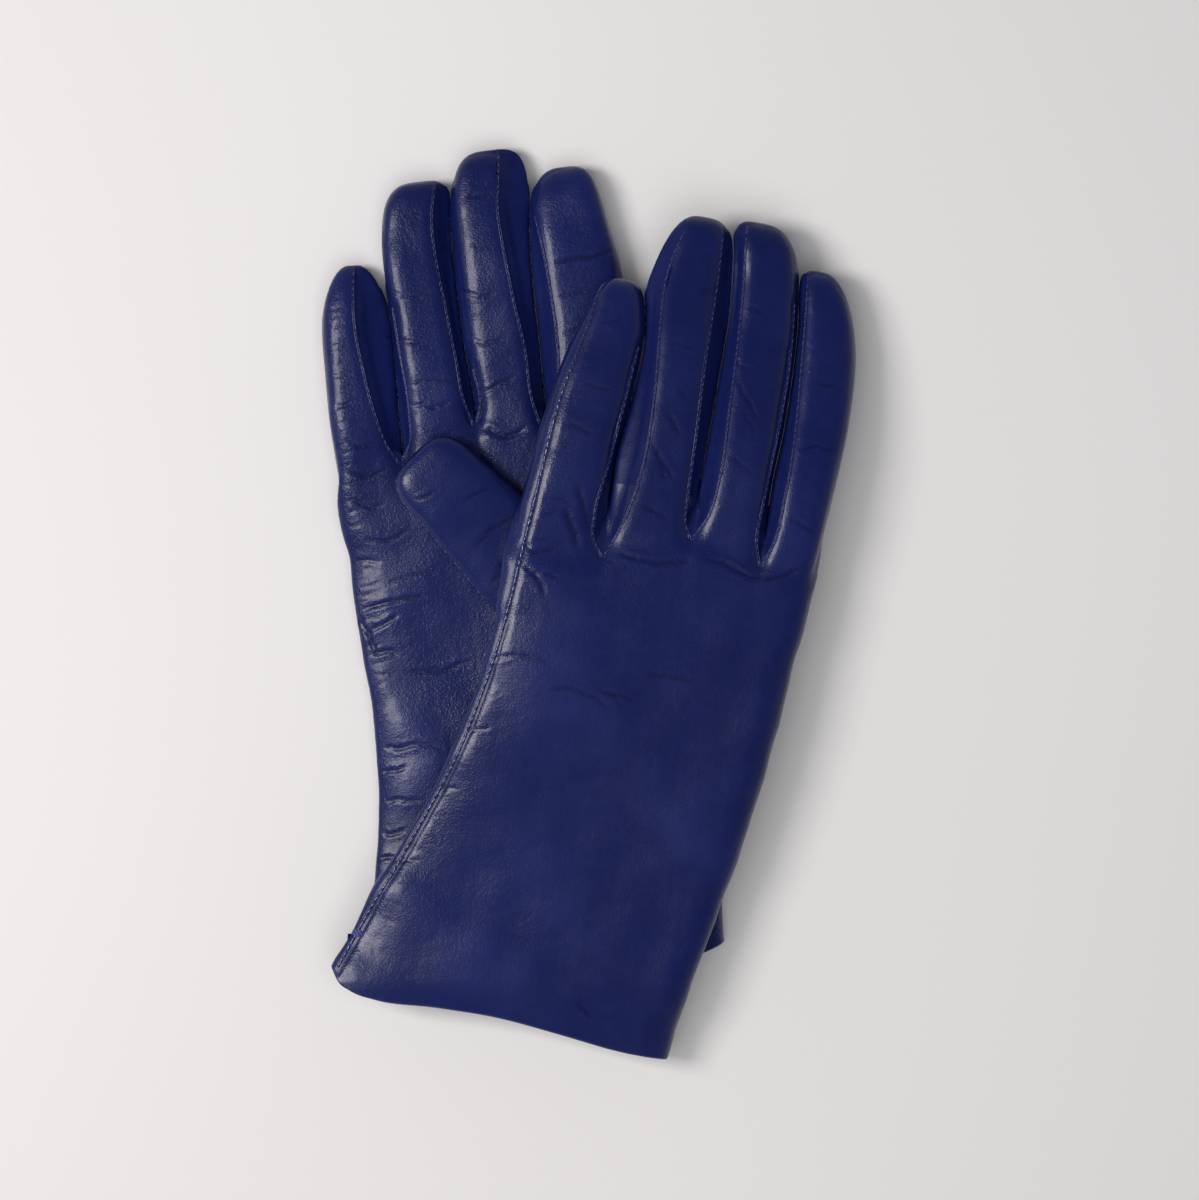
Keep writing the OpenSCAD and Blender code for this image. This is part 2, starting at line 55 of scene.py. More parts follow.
# Lengths from here on are millimetres, up to the floor and lights at the end.
SHIFT = 1.6  # puts the middle of the pair's outline over the origin
CELL = 0.62  # of the grid that the skin is cut from
LINING_CELL = 1.6
LINING_INSET = 2.0  # from the skin to the lining
LINING_START = 9.0  # from the cuff's edge to the lining's edge
FACING_INSET = 1.4  # from the skin to the facing inside the cuff
CUFF_BAND = 50.0  # over which the grid's rows follow the slant of the cuff's edge
ROOT_BLEND = 3.0  # over which the fingers run into the hand
SKIN_FLOOR, SEAM_FLOOR, THUMB_FLOOR = 0.02, 0.03, 0.3  # least heights over what a glove lies on
BEND, THUMB_BEND = 7.0, 8.0  # half of the length over which a piece bends at a joint
STITCH_PITCH, SIDE_PITCH = 2.1, 2.2
NO_SEAM = 9.0  # a distance from the nearest seam at which its valley has no effect
ON_SEAM_ROLL = 2.0  # the distance that raised seams are given, outside the valley's painted shade


# ------------------------------------------------------------------ curves

def smooth(x):
    x = np.clip(x, 0, 1)
    return x * x * (3 - 2 * x)


def table(rows):
    """Smooth curves through rows of given numbers. The first column is the place along."""
    r = np.array(rows, float)
    x, y = r[:, 0], r[:, 1:]
    d = np.diff(x)[:, None]
    s = np.diff(y, axis=0) / d
    mid = (s[:-1] * d[1:] + s[1:] * d[:-1]) / (d[1:] + d[:-1])
    m = np.vstack([s[:1], mid, s[-1:]])
    dense = np.linspace(x[0], x[-1], 500)
    i = np.clip(np.searchsorted(x, dense, side="right") - 1, 0, len(x) - 2)
    w = d[i]
    t = ((dense - x[i])[:, None]) / w
    val = ((2 * t ** 3 - 3 * t ** 2 + 1) * y[i] + (t ** 3 - 2 * t ** 2 + t) * w * m[i]
           + (3 * t ** 2 - 2 * t ** 3) * y[i + 1] + (t ** 3 - t ** 2) * w * m[i + 1])
    cols = [val[:, k].copy() for k in range(val.shape[1])]
    return lambda v: [np.interp(v, dense, c) for c in cols]


def waves(seed, count, short, long):
    """A smooth random field: a sum of plane waves between two wavelengths, about -1 to 1."""
    g = np.random.default_rng(seed)
    length = np.exp(g.uniform(math.log(short), math.log(long), count))
    angle = g.uniform(0, 2 * math.pi, count)
    k = 2 * math.pi / length
    kx, ky, phase = k * np.cos(angle), k * np.sin(angle), g.uniform(0, 2 * math.pi, count)

    def f(u, v):
        out = np.zeros_like(u)
        for a, b, p in zip(kx, ky, phase):
            out += np.sin(a * u + b * v + p)
        return out / math.sqrt(count)
    return f


def unit(v):
    return v / np.maximum(np.linalg.norm(v, axis=1), 1e-9)[:, None]


def turned(x, y, angle):
    c, s = math.cos(angle), math.sin(angle)
    return x * c - y * s, x * s + y * c


def turned_points(p, angle):
    return np.stack([*turned(p[:, 0], p[:, 1], angle), p[:, 2]], 1)


def run_along(line):
    """The length from the start of a line to each of its points."""
    return np.concatenate([[0], np.cumsum(np.linalg.norm(np.diff(line, axis=0), axis=1))])


# ------------------------------------------------------------------ the two gloves
# A glove's own plan: u across the fingers towards the index finger, v along them, z above
# whatever the glove lies on.

RIGHT_TURN, LEFT_TURN = 6.7, -9.9


def left_rest(x, y):
    """Height of the left glove's underside over the table, where it lies on the right glove."""
    u, v = turned(x, y, -math.radians(LEFT_TURN))
    return (10.4 + 7 * smooth((y + 100) / 95) - 5 * smooth((-109 - y) / 26)
            - 0.07 * smooth((y + 80) / 80) * x
            - (2.5 + 5 * smooth((u + 10) / 60)) * smooth((v - 43) / 60))


class Finger:
    """Rows are place along the glove, left edge, right edge, and half is half the thickness. The tip
    closes from cap to tip, squarer for a higher blunt, and the root begins at low. Seams are rows of
    place along and across by the edge that they lie on. Past split, a face belongs to the finger."""

    def __init__(self, rows, cap, tip, blunt, low, half, seams, split):
        self.edges, self.half = table(rows), table(half)
        self.cap, self.tip, self.blunt, self.low, self.split = cap, tip, blunt, low, split
        self.seams = [(table(line), line[0][0], line[-1][0], -1 if edge == "left" else 1)
                      for edge, line in seams.items()]

    def curve(self, v):
        a, b = self.edges(v)
        return (a + b) / 2, (b - a) / 2

    def field(self, u, v, z):
        uc, w = self.curve(v)
        h = self.half(v)[0]
        # the side panels fall away from the back panel, outside their seams
        fall = 0
        for line, first, last, sign in self.seams:
            beyond = np.clip(sign * (u - line(v)[0]), 0, None)
            fall = fall + 0.9 * beyond * smooth((v - first) / 8) * smooth((last + 5 - v) / 8)
        z = z + fall * smooth((z - h + 1) / (0.7 * h))
        q = (np.abs((u - uc) / w) ** 3.8 + np.abs((z - h) / h) ** 2.5) ** 0.33
        k = np.clip((v - self.cap) / (self.tip - self.cap), 0, None)
        low = np.clip((self.low - v) / 9, 0, None)
        n = self.blunt
        return ((q ** n + k ** n + low ** n) ** (1 / n) - 1) * h


class Glove:
    """The hand's edges, cuff line and half thickness, where it ends under the fingers on the upper and
    the under side, its fingers from little to index, and the height that it rests at."""

    def __init__(self, side, turn, edges, cuff, half, ends_top, ends_bottom, fingers, rest):
        self.side, self.turn, self.rest = side, math.radians(turn), rest
        self.edges, self.cuff, self.half = table(edges), table(cuff), table(half)
        self.ends_top, self.ends_bottom = table(ends_top), table(ends_bottom)
        self.fingers = fingers

    def world(self, p):
        """Points in the glove's plan to points in the frame, in millimetres."""
        x, y = turned(p[:, 0], p[:, 1], self.turn)
        return np.stack([x + SHIFT, y, p[:, 2] + (self.rest(x, y) if self.rest else 0)], 1)

    def world_normals(self, p, normals):
        """Normals turned with the glove, and tilted where what it lies on slopes."""
        n = turned_points(normals, self.turn)
        if self.rest:
            x, y = turned(p[:, 0], p[:, 1], self.turn)
            half = 0.5
            n[:, 0] -= (self.rest(x + half, y) - self.rest(x - half, y)) * n[:, 2]
            n[:, 1] -= (self.rest(x, y + half) - self.rest(x, y - half)) * n[:, 2]
        return unit(n)

    def plan(self, x, y):
        return turned(x - SHIFT, y, -self.turn)

    def hand(self, u, v, z):
        a, b = self.edges(v)
        uc, w = (a + b) / 2, (b - a) / 2
        h = self.half(v)[0]
        # the upper side rolls over broadly towards the little finger, the under side lies flat
        roll = 10 + 18 * smooth((uc - u) / 20) * smooth((z - h) / h * 2)
        e = np.clip((roll - (w - np.abs(u - uc))) / roll, 0, None)
        q = (e ** 2.3 + np.abs((z - h) / h) ** 2.3) ** (1 / 2.3)
        s = smooth(0.5 + (z - h) / h * 0.6)
        end = self.ends_bottom(u)[0] * (1 - s) + self.ends_top(u)[0] * s
        k = np.clip((v - end) / 8, 0, None)
        return (np.sqrt(q * q + k * k) - 1) * h

    def field(self, u, v, z):
        out = self.hand(u, v, z)
        f = self.fingers[0].field(u, v, z)
        for g in self.fingers[1:]:
            f = np.minimum(f, g.field(u, v, z))
        d = np.clip(ROOT_BLEND - np.abs(out - f), 0, None)
        return np.minimum(out, f) - d * d / (4 * ROOT_BLEND)


RIGHT = Glove(
    "right", RIGHT_TURN,
    edges=[[-112, -80, 26], [-95, -76, 27], [-75, -73, 26.5], [-60, -70.6, 25], [-45, -69, 23.5],
           [-24, -67.8, 21.5], [-8, -68.6, 20], [8, -69.2, 18.5], [30, -69.6, 17.8], [46, -70, 17.8],
           [64, -70.3, 18]],
    cuff=[[-90, -98.2], [-60, -99.2], [-40, -101.8], [-20, -102.2], [5, -104.6], [19, -105.4],
          [26, -103.4], [35, -99]],
    half=[[-112, 5], [0, 5], [30, 5.2], [64, 5.6]],
    ends_top=[[-80, 39], [-51, 41], [-40, 44], [-28.5, 49], [-18, 49], [-9.3, 47.5], [20, 47]],
    ends_bottom=[[-80, 22], [-51, 26], [-28.5, 34], [-9.3, 30], [20, 28]],
    fingers=[
        Finger([[20, -69.2, -49], [46, -69.9, -50.7], [60, -70.5, -50.5], [75, -70.2, -50],
                [88, -69.6, -49.9], [96, -68.4, -50.2], [106, -66.4, -51]],
               90, 105.8, 2.0, 30, [[20, 4.3], [38, 5.2], [50, 5.9], [75, 6.4], [106, 5.6]],
               {"right": [[46, -51.3], [52, -54.6], [60, -56.6], [75, -58.8], [90, -59.7], [98, -59],
                          [105.2, -58.2]]}, 50),
        Finger([[20, -51.8, -27.6], [46, -49.9, -28.2], [60, -49.7, -28.1], [80, -49.2, -29.3],
                [92, -49.1, -29.5], [100, -49.5, -29.5], [112, -49.2, -29.2], [120, -47.8, -28.2],
                [128, -45.5, -26.8]],
               117, 127.8, 3, 34, [[20, 4.3], [38, 5.2], [50, 5.8], [75, 6.5], [128, 5.8]],
               {"left": [[46, -51.3], [52, -47.8], [60, -47], [80, -47.7], [92, -48.2]],
                "right": [[54.6, -28.4], [60, -30.2], [75, -31.6], [90, -32.8], [105, -34],
                          [116, -33.8], [127, -31.6]]}, 50),
        Finger([[20, -30.6, -6.6], [54, -27.4, -7.7], [66, -27.5, -7.5], [80, -28.5, -7.2],
                [92, -28.7, -7.1], [108, -28.5, -6.4], [120, -27.8, -5], [126, -26.5, -4.8],
                [135, -24.5, -4.8]],
               123, 134.6, 2.9, 40, [[20, 4.3], [38, 5.2], [50, 5.8], [78, 6.5], [112, 6.5], [135, 5.8]],
               {"left": [[54.6, -28.4], [60, -26.3], [72, -27]],
                "right": [[52.9, -9.3], [60, -10.8], [75, -11.2], [90, -12.8], [105, -14], [118, -14.3],
                          [126, -13.2], [134, -12.3]]}, 50),
        Finger([[20, -9.5, 17.4], [50, -6.9, 17.8], [70, -6.6, 18.4], [85, -6.4, 19.8],
                [98, -6.2, 19.2], [110, -5.6, 17], [120, -4.2, 15.6], [127, -2.8, 15.4]],
               114, 127.2, 2.6, 38, [[20, 4.3], [38, 5.2], [50, 5.8], [78, 6.5], [127, 5.8]],
               {"left": [[52.9, -9.3], [60, -3.4], [70, -2], [90, -1.8], [104, -2.7], [114, -3.9]]}, 93),
    ], rest=None)

LEFT = Glove(
    "left", LEFT_TURN,
    edges=[[-134, -61, 43.5], [-124, -58.3, 44.6], [-118, -57, 45.3], [-107, -53.4, 47.2],
           [-98, -50.4, 48.7], [-87, -46, 50.6], [-77, -42.6, 52.2], [-64, -37.6, 54.7],
           [-52, -33.9, 56.4], [-38, -30.9, 58.1], [-22, -28.2, 59.7], [-8, -26.5, 60.5],
           [10, -26.3, 61.1], [30, -25.4, 62.2], [48, -24, 63.4]],
    cuff=[[-66, -108], [-60, -112.5], [-57, -117], [-54.5, -120.6], [-50, -123], [-42, -124.3],
          [-25, -123.5], [-6, -123.4], [12, -125.2], [30, -127.2], [48, -127.4]],
    half=[[-134, 5.5], [0, 5.5], [20, 5.5], [48, 5.75]],
    ends_top=[[-30, 4], [0.6, 6.5], [12, 13], [25, 16], [35, 13.5], [46, 11.5], [62, 9]],
    ends_bottom=[[-30, 22], [0.6, 25], [25, 33], [46, 29], [62, 27]],
    fingers=[
        Finger([[-8, -25.6, 1.4], [13, -25.8, 1.2], [24, -25.6, -0.5], [43, -24.2, -1.2],
                [60, -22, 0.5], [72, -19.6, 1.1], [80, -17.2, 1], [87, -15, -0.3], [94, -13, -1.6]],
               85, 93.6, 2.5, 0, [[-8, 4.3], [13, 5.1], [24, 5.7], [50, 6.3], [94, 5.6]],
               {"right": [[12.9, 0.6], [17, -2.8], [24, -3.8], [40, -2.4], [60, -0.8], [75, 0.2]]}, 35),
        Finger([[-8, -0.8, 26], [16, -0.4, 25.6], [28, 0.2, 24.3], [43, -0.4, 24.1], [60, 1.3, 24.4],
                [75, 2, 24.4], [84, 0.8, 24.4], [92, -0.4, 24.1], [100, 0.9, 23.2], [110, 3.8, 22],
                [116, 5.6, 20.8]],
               104, 115.5, 2.7, 4, [[-8, 4.3], [13, 5.1], [24, 5.7], [50, 6.4], [116, 5.8]],
               {"left": [[12.9, 0.6], [20, 3.4], [30, 6], [40, 7.3], [60, 7.3], [80, 5.6], [95, 4.8],
                         [103, 5.8], [110, 7.8]],
                "right": [[22.3, 24.9], [26, 22.6], [34, 21.8], [50, 21.2], [75, 20], [100, 19.4],
                          [112, 18.6]]}, 35),
        Finger([[-8, 23, 47.8], [18, 23.5, 47.2], [30, 25.1, 45.2], [43, 24.9, 44.8], [60, 25.2, 45.5],
                [75, 25.2, 45.3], [90, 25, 44.4], [100, 24, 43], [108, 22.8, 41.4], [117, 20, 38]],
               106, 116.8, 2.7, 8, [[-8, 4.3], [13, 5.1], [24, 5.7], [50, 6.4], [117, 5.8]],
               {"left": [[22.3, 24.9], [30, 28.6], [40, 29.8], [60, 29.3], [80, 28.5], [98, 27.2],
                         [108, 26], [115, 25.4]],
                "right": [[17.9, 46], [24, 43.8], [36, 43.6], [60, 44.4], [80, 44.2], [96, 42.6]]}, 35),
        Finger([[-8, 43.8, 60], [16, 44.6, 61.4], [28, 45.9, 62.3], [43, 45.7, 63.4], [60, 46.4, 64.3],
                [75, 46.2, 64], [84, 45.7, 63], [90, 45.2, 61.6], [98, 43.9, 58.6], [106, 42.2, 54.6]],
               95, 106, 2.8, 4, [[-8, 4.3], [13, 5.1], [24, 5.7], [50, 6.2], [106, 5.6]],
               {"left": [[17.9, 46], [24, 48.2], [40, 49.4], [60, 49.2], [75, 48], [92, 46.6],
                         [100, 45.8], [105, 45.2]]}, 35),
    ], rest=left_rest)

FINGERS = ["little", "ring", "middle", "index"]
# The side seams, down the outside of the little finger and the hand: place along, place across.
LEFT_SIDE = [[-119, -54.6], [-107, -50.4], [-98, -47.2], [-87, -42.8], [-77, -39.2], [-64, -34.6],
             [-52, -30.8], [-38, -27.6], [-22, -24.8], [-8, -23.2], [10, -22], [30, -20.6], [50, -19.2],
             [60, -18], [70, -16], [80, -14.2], [88, -13.4], [92.6, -12.2]]
RIGHT_SIDE = [[-100, -74.8], [-75, -71.4], [-45, -67.3], [-10, -66.9], [30, -67.9], [60, -68.7],
              [85, -68.1], [99, -64.6]]


# ------------------------------------------------------------------ meshing

CORNERS = [(i, j, k) for i in (0, 1) for j in (0, 1) for k in (0, 1)]
CELL_EDGES = [(a, b) for a in range(8) for b in range(a + 1, 8)
              if sum(abs(CORNERS[a][n] - CORNERS[b][n]) for n in range(3)) == 1]


def surface_nets(values, origin, step):
    """Points and quads of the zero surface of a grid of values, and which points are in the first
    cells along the glove."""
    sx, sy, sz = [n - 1 for n in values.shape]
    corner = [values[i:i + sx, j:j + sy, k:k + sz] for i, j, k in CORNERS]
    count = sum((c < 0).astype(np.int8) for c in corner)
    mask = (count > 0) & (count < 8)
    cells = np.argwhere(mask)
    index = np.full(mask.shape, -1, np.int64)
    index[mask] = np.arange(len(cells))
    vals = [c[mask] for c in corner]
    total = np.zeros((len(cells), 3))
    hits = np.zeros(len(cells))
    for a, b in CELL_EDGES:
        va, vb = vals[a], vals[b]
        cross = (va < 0) != (vb < 0)
        t = np.where(cross, va / np.where(cross, va - vb, 1), 0)[:, None]
        ca, cb = np.array(CORNERS[a], float), np.array(CORNERS[b], float)
        total += np.where(cross[:, None], ca + (cb - ca) * t, 0)
        hits += cross
    points = (cells + total / hits[:, None]) * step + origin
    quads = []
    for axis in range(3):
        o1, o2 = [n for n in range(3) if n != axis]
        lo = [slice(None)] * 3
        hi = [slice(None)] * 3
        lo[axis], hi[axis] = slice(0, -1), slice(1, None)
        a, b = values[tuple(lo)] < 0, values[tuple(hi)] < 0
        for here, flip in ((a & ~b, False), (~a & b, True)):
            e = np.argwhere(here)
            e = e[(e[:, o1] > 0) & (e[:, o2] > 0)]
            e = e[(e[:, o1] < index.shape[o1]) & (e[:, o2] < index.shape[o2])]
            corners = []
            for d1, d2 in ((1, 1), (0, 1), (0, 0), (1, 0)):
                c = e.copy()
                c[:, o1] -= d1
                c[:, o2] -= d2
                corners.append(index[c[:, 0], c[:, 1], c[:, 2]])
            q = np.stack(corners, 1)
            if flip != (axis == 1):
                q = q[:, ::-1]
            quads.append(q)
    return points, np.concatenate(quads), cells[:, 1] == 0


def gradient(field, p, eps=0.08):
    g = np.empty_like(p)
    for n in range(3):
        d = np.zeros(3)
        d[n] = eps
        a, b = p + d, p - d
        g[:, n] = (field(a[:, 0], a[:, 1], a[:, 2]) - field(b[:, 0], b[:, 1], b[:, 2])) / (2 * eps)
    return g


def settle(field, p, fixed_v=None, rounds=4):
    """Moves points onto the zero surface. Points at the cuff keep their place along the glove."""
    for _ in range(rounds):
        f = field(p[:, 0], p[:, 1], p[:, 2])
        g = gradient(field, p)
        if fixed_v is not None:
            g[fixed_v, 1] = 0
        step = f[:, None] * g / np.maximum((g * g).sum(1), 0.05)[:, None]
        size = np.linalg.norm(step, axis=1)
        step *= np.minimum(1, 0.8 / np.maximum(size, 1e-9))[:, None]
        p = p - step
    return p


def extract(glove, offset, start, cell):
    """The surface offset millimetres inside the glove's skin, in its plan, from start past the cuff's edge.
    Also returns which points are at the open end."""
    v0 = float(min(glove.cuff(np.linspace(-80, 60, 50))[0]))
    a, b = glove.edges(np.linspace(v0, 60, 60))
    top = max(f.tip for f in glove.fingers)
    origin = np.array([min(a) - 8 * cell, start, -3 * cell])
    thickest = 15
    shape = [int((max(b) + 8 * cell - origin[0]) / cell) + 2, int((top - v0 - start + 4) / cell) + 2,
             int((thickest + 3 * cell) / cell) + 2]
    grid = [origin[n] + np.arange(shape[n]) * cell for n in range(3)]
    u, t, z = np.meshgrid(*grid, indexing="ij")

    def along(u, t):
        return v0 + t + (glove.cuff(u)[0] - v0) * (1 - smooth(t / CUFF_BAND))
    v = along(u, t)
    values = np.empty(u.shape, np.float32)
    slab = 24
    for i in range(0, shape[0], slab):
        s = slice(i, i + slab)
        values[s] = glove.field(u[s], v[s], z[s]) + offset
    points, quads, first = surface_nets(values, origin, cell)
    points[first, 1] = start
    points[:, 1] = along(points[:, 0], points[:, 1])

    def field(u, v, z):
        return glove.field(u, v, z) + offset
    points = settle(field, points, first)
    if (vertex_normals(points, quads)[::50] * gradient(field, points[::50])).sum() < 0:
        quads = quads[:, ::-1]
    return points, quads, first


def vertex_normals(p, quads):
    tri = np.concatenate([quads[:, [0, 1, 2]], quads[:, [0, 2, 3]]])
    n = np.cross(p[tri[:, 1]] - p[tri[:, 0]], p[tri[:, 2]] - p[tri[:, 0]])
    out = np.zeros_like(p)
    for k in range(3):
        np.add.at(out, tri[:, k], n)
    return unit(out)


def soften(normals, quads):
    """Each normal blended with its neighbours', which hides the mesh's own pattern."""
    out = normals.copy()
    for a, b in ((0, 1), (1, 2), (2, 3), (3, 0)):
        np.add.at(out, quads[:, a], 0.25 * normals[quads[:, b]])
        np.add.at(out, quads[:, b], 0.25 * normals[quads[:, a]])
    return unit(out)


def to_path(p, path):
    """Distance in plan from points to a line of points, and the share of its length at the nearest place."""
    path = np.array(path, float)
    best = np.full(len(p), 1e9)
    share = np.zeros(len(p))
    seg = np.diff(path, axis=0)
    size = np.linalg.norm(seg, axis=1)
    run = np.concatenate([[0], np.cumsum(size)])
    for a, d, l, s in zip(path[:-1], seg, size, run):
        t = np.clip(((p - a) @ d) / (l * l), 0, 1)
        r = np.linalg.norm(p - a - t[:, None] * d, axis=1)
        near = r < best
        best[near] = r[near]
        share[near] = (s + t[near] * l) / run[-1]
    return best, share


def curl(path, seed, amount=0.7):
    """The same line with more points and a little wander."""
    g = np.random.default_rng(seed)
    path = np.array(path, float)
    run = run_along(path)
    s = np.linspace(0, run[-1], max(4, int(run[-1] / 2.2)))
    out = np.stack([np.interp(s, run, path[:, k]) for k in range(2)], 1)
    return out + g.normal(0, amount * 0.35, out.shape)


def crease(p, path, width, depth, seed):
    """Height of a crease: a soft valley with a raised lip on each side, fading out at its ends.
    Also returns its line of painted shade and the zone of finer wrinkles round it."""
    line = curl(path, seed)
    reach = 7
    lo, hi = line.min(0) - reach, line.max(0) + reach
    near = ((p >= lo) & (p <= hi)).all(1)
    out = np.zeros(len(p))
    if not near.any():
        return out, out, out
    r, s = to_path(p[near], line)
    fade = smooth(s / 0.25) * smooth((1 - s) / 0.25)
    lip = 0.22 * np.exp(-((r - 2.1 * width) / (1.2 * width)) ** 2)
    out[near] = depth * fade * (-np.exp(-(r / width) ** 2) + lip)
    shade_line, zone = np.zeros(len(p)), np.zeros(len(p))
    shade_line[near] = fade * np.exp(-(r / (0.8 * width)) ** 2)
    zone[near] = np.sqrt(fade) * np.exp(-(r / 3.4) ** 2) * min(1.0, 0.35 + depth)
    return out, shade_line, zone


# ------------------------------------------------------------------ creases
# By glove, on the side that faces up: points in plan, width, depth.

CREASES = {
    "left": [
        ([(3, 15), (10, 14), (19, 14), (28, 18)], 0.9, 0.55),
        ([(28, 18), (35, 17), (40, 15.5), (46, 14.5), (52, 16), (57, 19), (60, 21)], 1.0, 0.7),
        ([(-11, -28), (0, -26), (7, -28), (12, -32)], 0.9, 0.28),
        ([(4, -24), (11, -26), (15, -30)], 0.7, 0.2), ([(6, -25), (18, -26)], 0.8, 0.3),
        ([(8, 48), (17, 38)], 0.8, 0.4), ([(11, 58), (17, 51)], 0.8, 0.35),
        ([(11, 44), (16, 36)], 0.7, 0.35), ([(12, 66), (17, 61)], 0.7, 0.25),
        ([(28, 76), (33, 73)], 0.7, 0.3), ([(29, 71), (38, 59)], 0.8, 0.4),
        ([(33, 62), (38, 55)], 0.7, 0.3), ([(51, 53), (56, 55), (62, 54)], 0.8, 0.35),
        ([(-22, 8), (-15, 1), (-13, -2)], 0.9, 0.5), ([(-27, -22), (-19, -19), (-7, -19)], 1.0, 0.3),
        ([(-24, 14), (-19, 11), (-12, 14)], 0.9, 0.4), ([(-20, 4), (-16, 6), (-10, 4)], 0.7, 0.3),
        ([(-13, 26), (-6, 13)], 1.6, 0.35), ([(-11, 34), (-4, 18)], 1.6, 0.3),
        ([(15, -115), (21, -120)], 1.2, 0.35), ([(17, -18), (35, -18)], 1.2, 0.2),
        ([(14, 95), (22, 93)], 0.6, 0.2), ([(29, 92), (36, 90)], 0.6, 0.2), ([(8, 78), (18, 76)], 0.6, 0.2),
        ([(-14, 62), (-4, 60)], 0.7, 0.22), ([(-16, 50), (-8, 47)], 0.8, 0.25),
        ([(30, 48), (40, 44)], 0.8, 0.25), ([(52, 74), (62, 72)], 0.7, 0.22),
        ([(51, 34), (60, 30)], 0.9, 0.3), ([(8, 30), (18, 27)], 0.9, 0.25),
        ([(-38, -62), (-28, -60)], 0.9, 0.25), ([(-46, -84), (-36, -83)], 0.9, 0.22),
        ([(-30, -44), (-22, -40)], 0.8, 0.25)],
    "right": [
        ([(-69, 5), (-56, 7), (-47, 7)], 0.9, 0.5), ([(-68, -2), (-62, 0), (-56, 3)], 0.9, 0.45),
        ([(-67, -8), (-61, -7), (-58, -10)], 0.8, 0.45), ([(-59, -14), (-44, -15), (-36, -13)], 1.0, 0.35),
        ([(-69, 5), (-66, -4), (-64, -10)], 0.9, 0.45), ([(-69, 19), (-65, 20), (-60, 18)], 0.8, 0.35),
        ([(-67, -35), (-61, -36), (-55, -35), (-48, -38)], 0.9, 0.5),
        ([(-68, -42), (-64, -43), (-59, -42)], 0.8, 0.45),
        ([(-69, -51), (-63, -51), (-56, -53)], 0.8, 0.45),
        ([(-70, -60), (-66, -61), (-62, -60)], 0.8, 0.45), ([(-72, -68), (-68, -67), (-63, -69)], 0.8, 0.4),
        ([(-52, 85), (-46, 81), (-39, 81)], 0.7, 0.4), ([(-48, 96), (-42, 94), (-36, 95)], 0.6, 0.3),
        ([(-48, 64), (-40, 61), (-33, 63)], 0.7, 0.35), ([(-30, 96), (-24, 92), (-17, 92)], 0.7, 0.4),
        ([(-27, 81), (-24, 78), (-16, 79)], 0.7, 0.35), ([(-26, 64), (-20, 66), (-14, 68)], 0.8, 0.4),
        ([(-24, 121), (-18, 121), (-15, 122)], 0.8, 0.5), ([(-24, 108), (-18, 106), (-15, 107)], 0.6, 0.25),
        ([(0, 99), (7, 100), (14, 100), (19, 101)], 1.0, 0.5), ([(0, 89), (10, 91)], 0.7, 0.3),
        ([(-1, 78), (8, 80)], 0.7, 0.3), ([(-67, 56), (-62, 52), (-56, 53)], 0.8, 0.4),
        ([(-68, 38), (-61, 34), (-57, 35)], 0.9, 0.4), ([(-68, 47), (-61, 43), (-54, 45)], 0.9, 0.4),
        ([(-45, 69), (-37, 70), (-32, 68)], 0.7, 0.3), ([(-27, 54), (-19, 50), (-13, 53)], 1.2, 0.6),
        ([(-50, 46), (-40, 43), (-32, 48)], 1.4, 0.5), ([(-65, 26), (-57, 24), (-50, 27)], 0.9, 0.3),
        ([(-60, 12), (-50, 14), (-44, 12)], 0.8, 0.25)],
}

# Short creases across the outer edge of the little finger and the hand, where the leather is folded
# hardest: seed, places along, the edge, wander along, start past the edge, length, wander of the
# middle and of the end, width, depth.
SMALL_CREASES = {
    "right": (31, (-28, 98, 3.4), [[-28, -70], [98, -70]], 1.2, (0.2, 1.5), (4, 9), 1.2, 2, (0.45, 0.7),
              (0.08, 0.24)),
    "left": (53, (-108, 84, 6.5), LEFT_SIDE, 2, (1.6, 2.6), (3, 8), 1, 2.4, (0.5, 0.8), (0.02, 0.08)),
}


def small_creases(side):
    seed, places, edge, wander, start, length, middle, end, width, depth = SMALL_CREASES[side]
    g = np.random.default_rng(seed)
    edge_v, edge_u = np.array(edge, float).T
    out = []
    for v in np.arange(*places):
        v += g.uniform(-wander, wander)
        u = float(np.interp(v, edge_v, edge_u)) + g.uniform(*start)
        w = g.uniform(*length)
        path = [(u, v), (u + w / 2, v + g.uniform(-middle, middle)), (u + w, v + g.uniform(-end, end))]
        out.append((path, g.uniform(*width), g.uniform(*depth)))
    return out


def crease_heights(p, up, creases, seed):
    """All creases together: heights, lines of painted shade and wrinkled zones, on the side that faces up.
    """
    height, shade_lines, zones = np.zeros((3, len(p)))
    for n, (path, width, depth) in enumerate(creases):
        h, m, z = crease(p, path, width, depth, seed + n)
        height += h * up
        shade_lines = np.maximum(shade_lines, m * up)
        zones = np.maximum(zones, z * up)
    return height, shade_lines, zones


def seam_paths(glove):
    """Every finger seam on the side that faces up: the finger's name, and points in plan."""
    out = []
    for name, f in zip(FINGERS, glove.fingers):
        for line, first, last, _ in f.seams:
            v = np.linspace(first, last, max(8, int((last - first) / 0.8)))
            out.append((name, np.stack([line(v)[0], v], 1)))
    return out


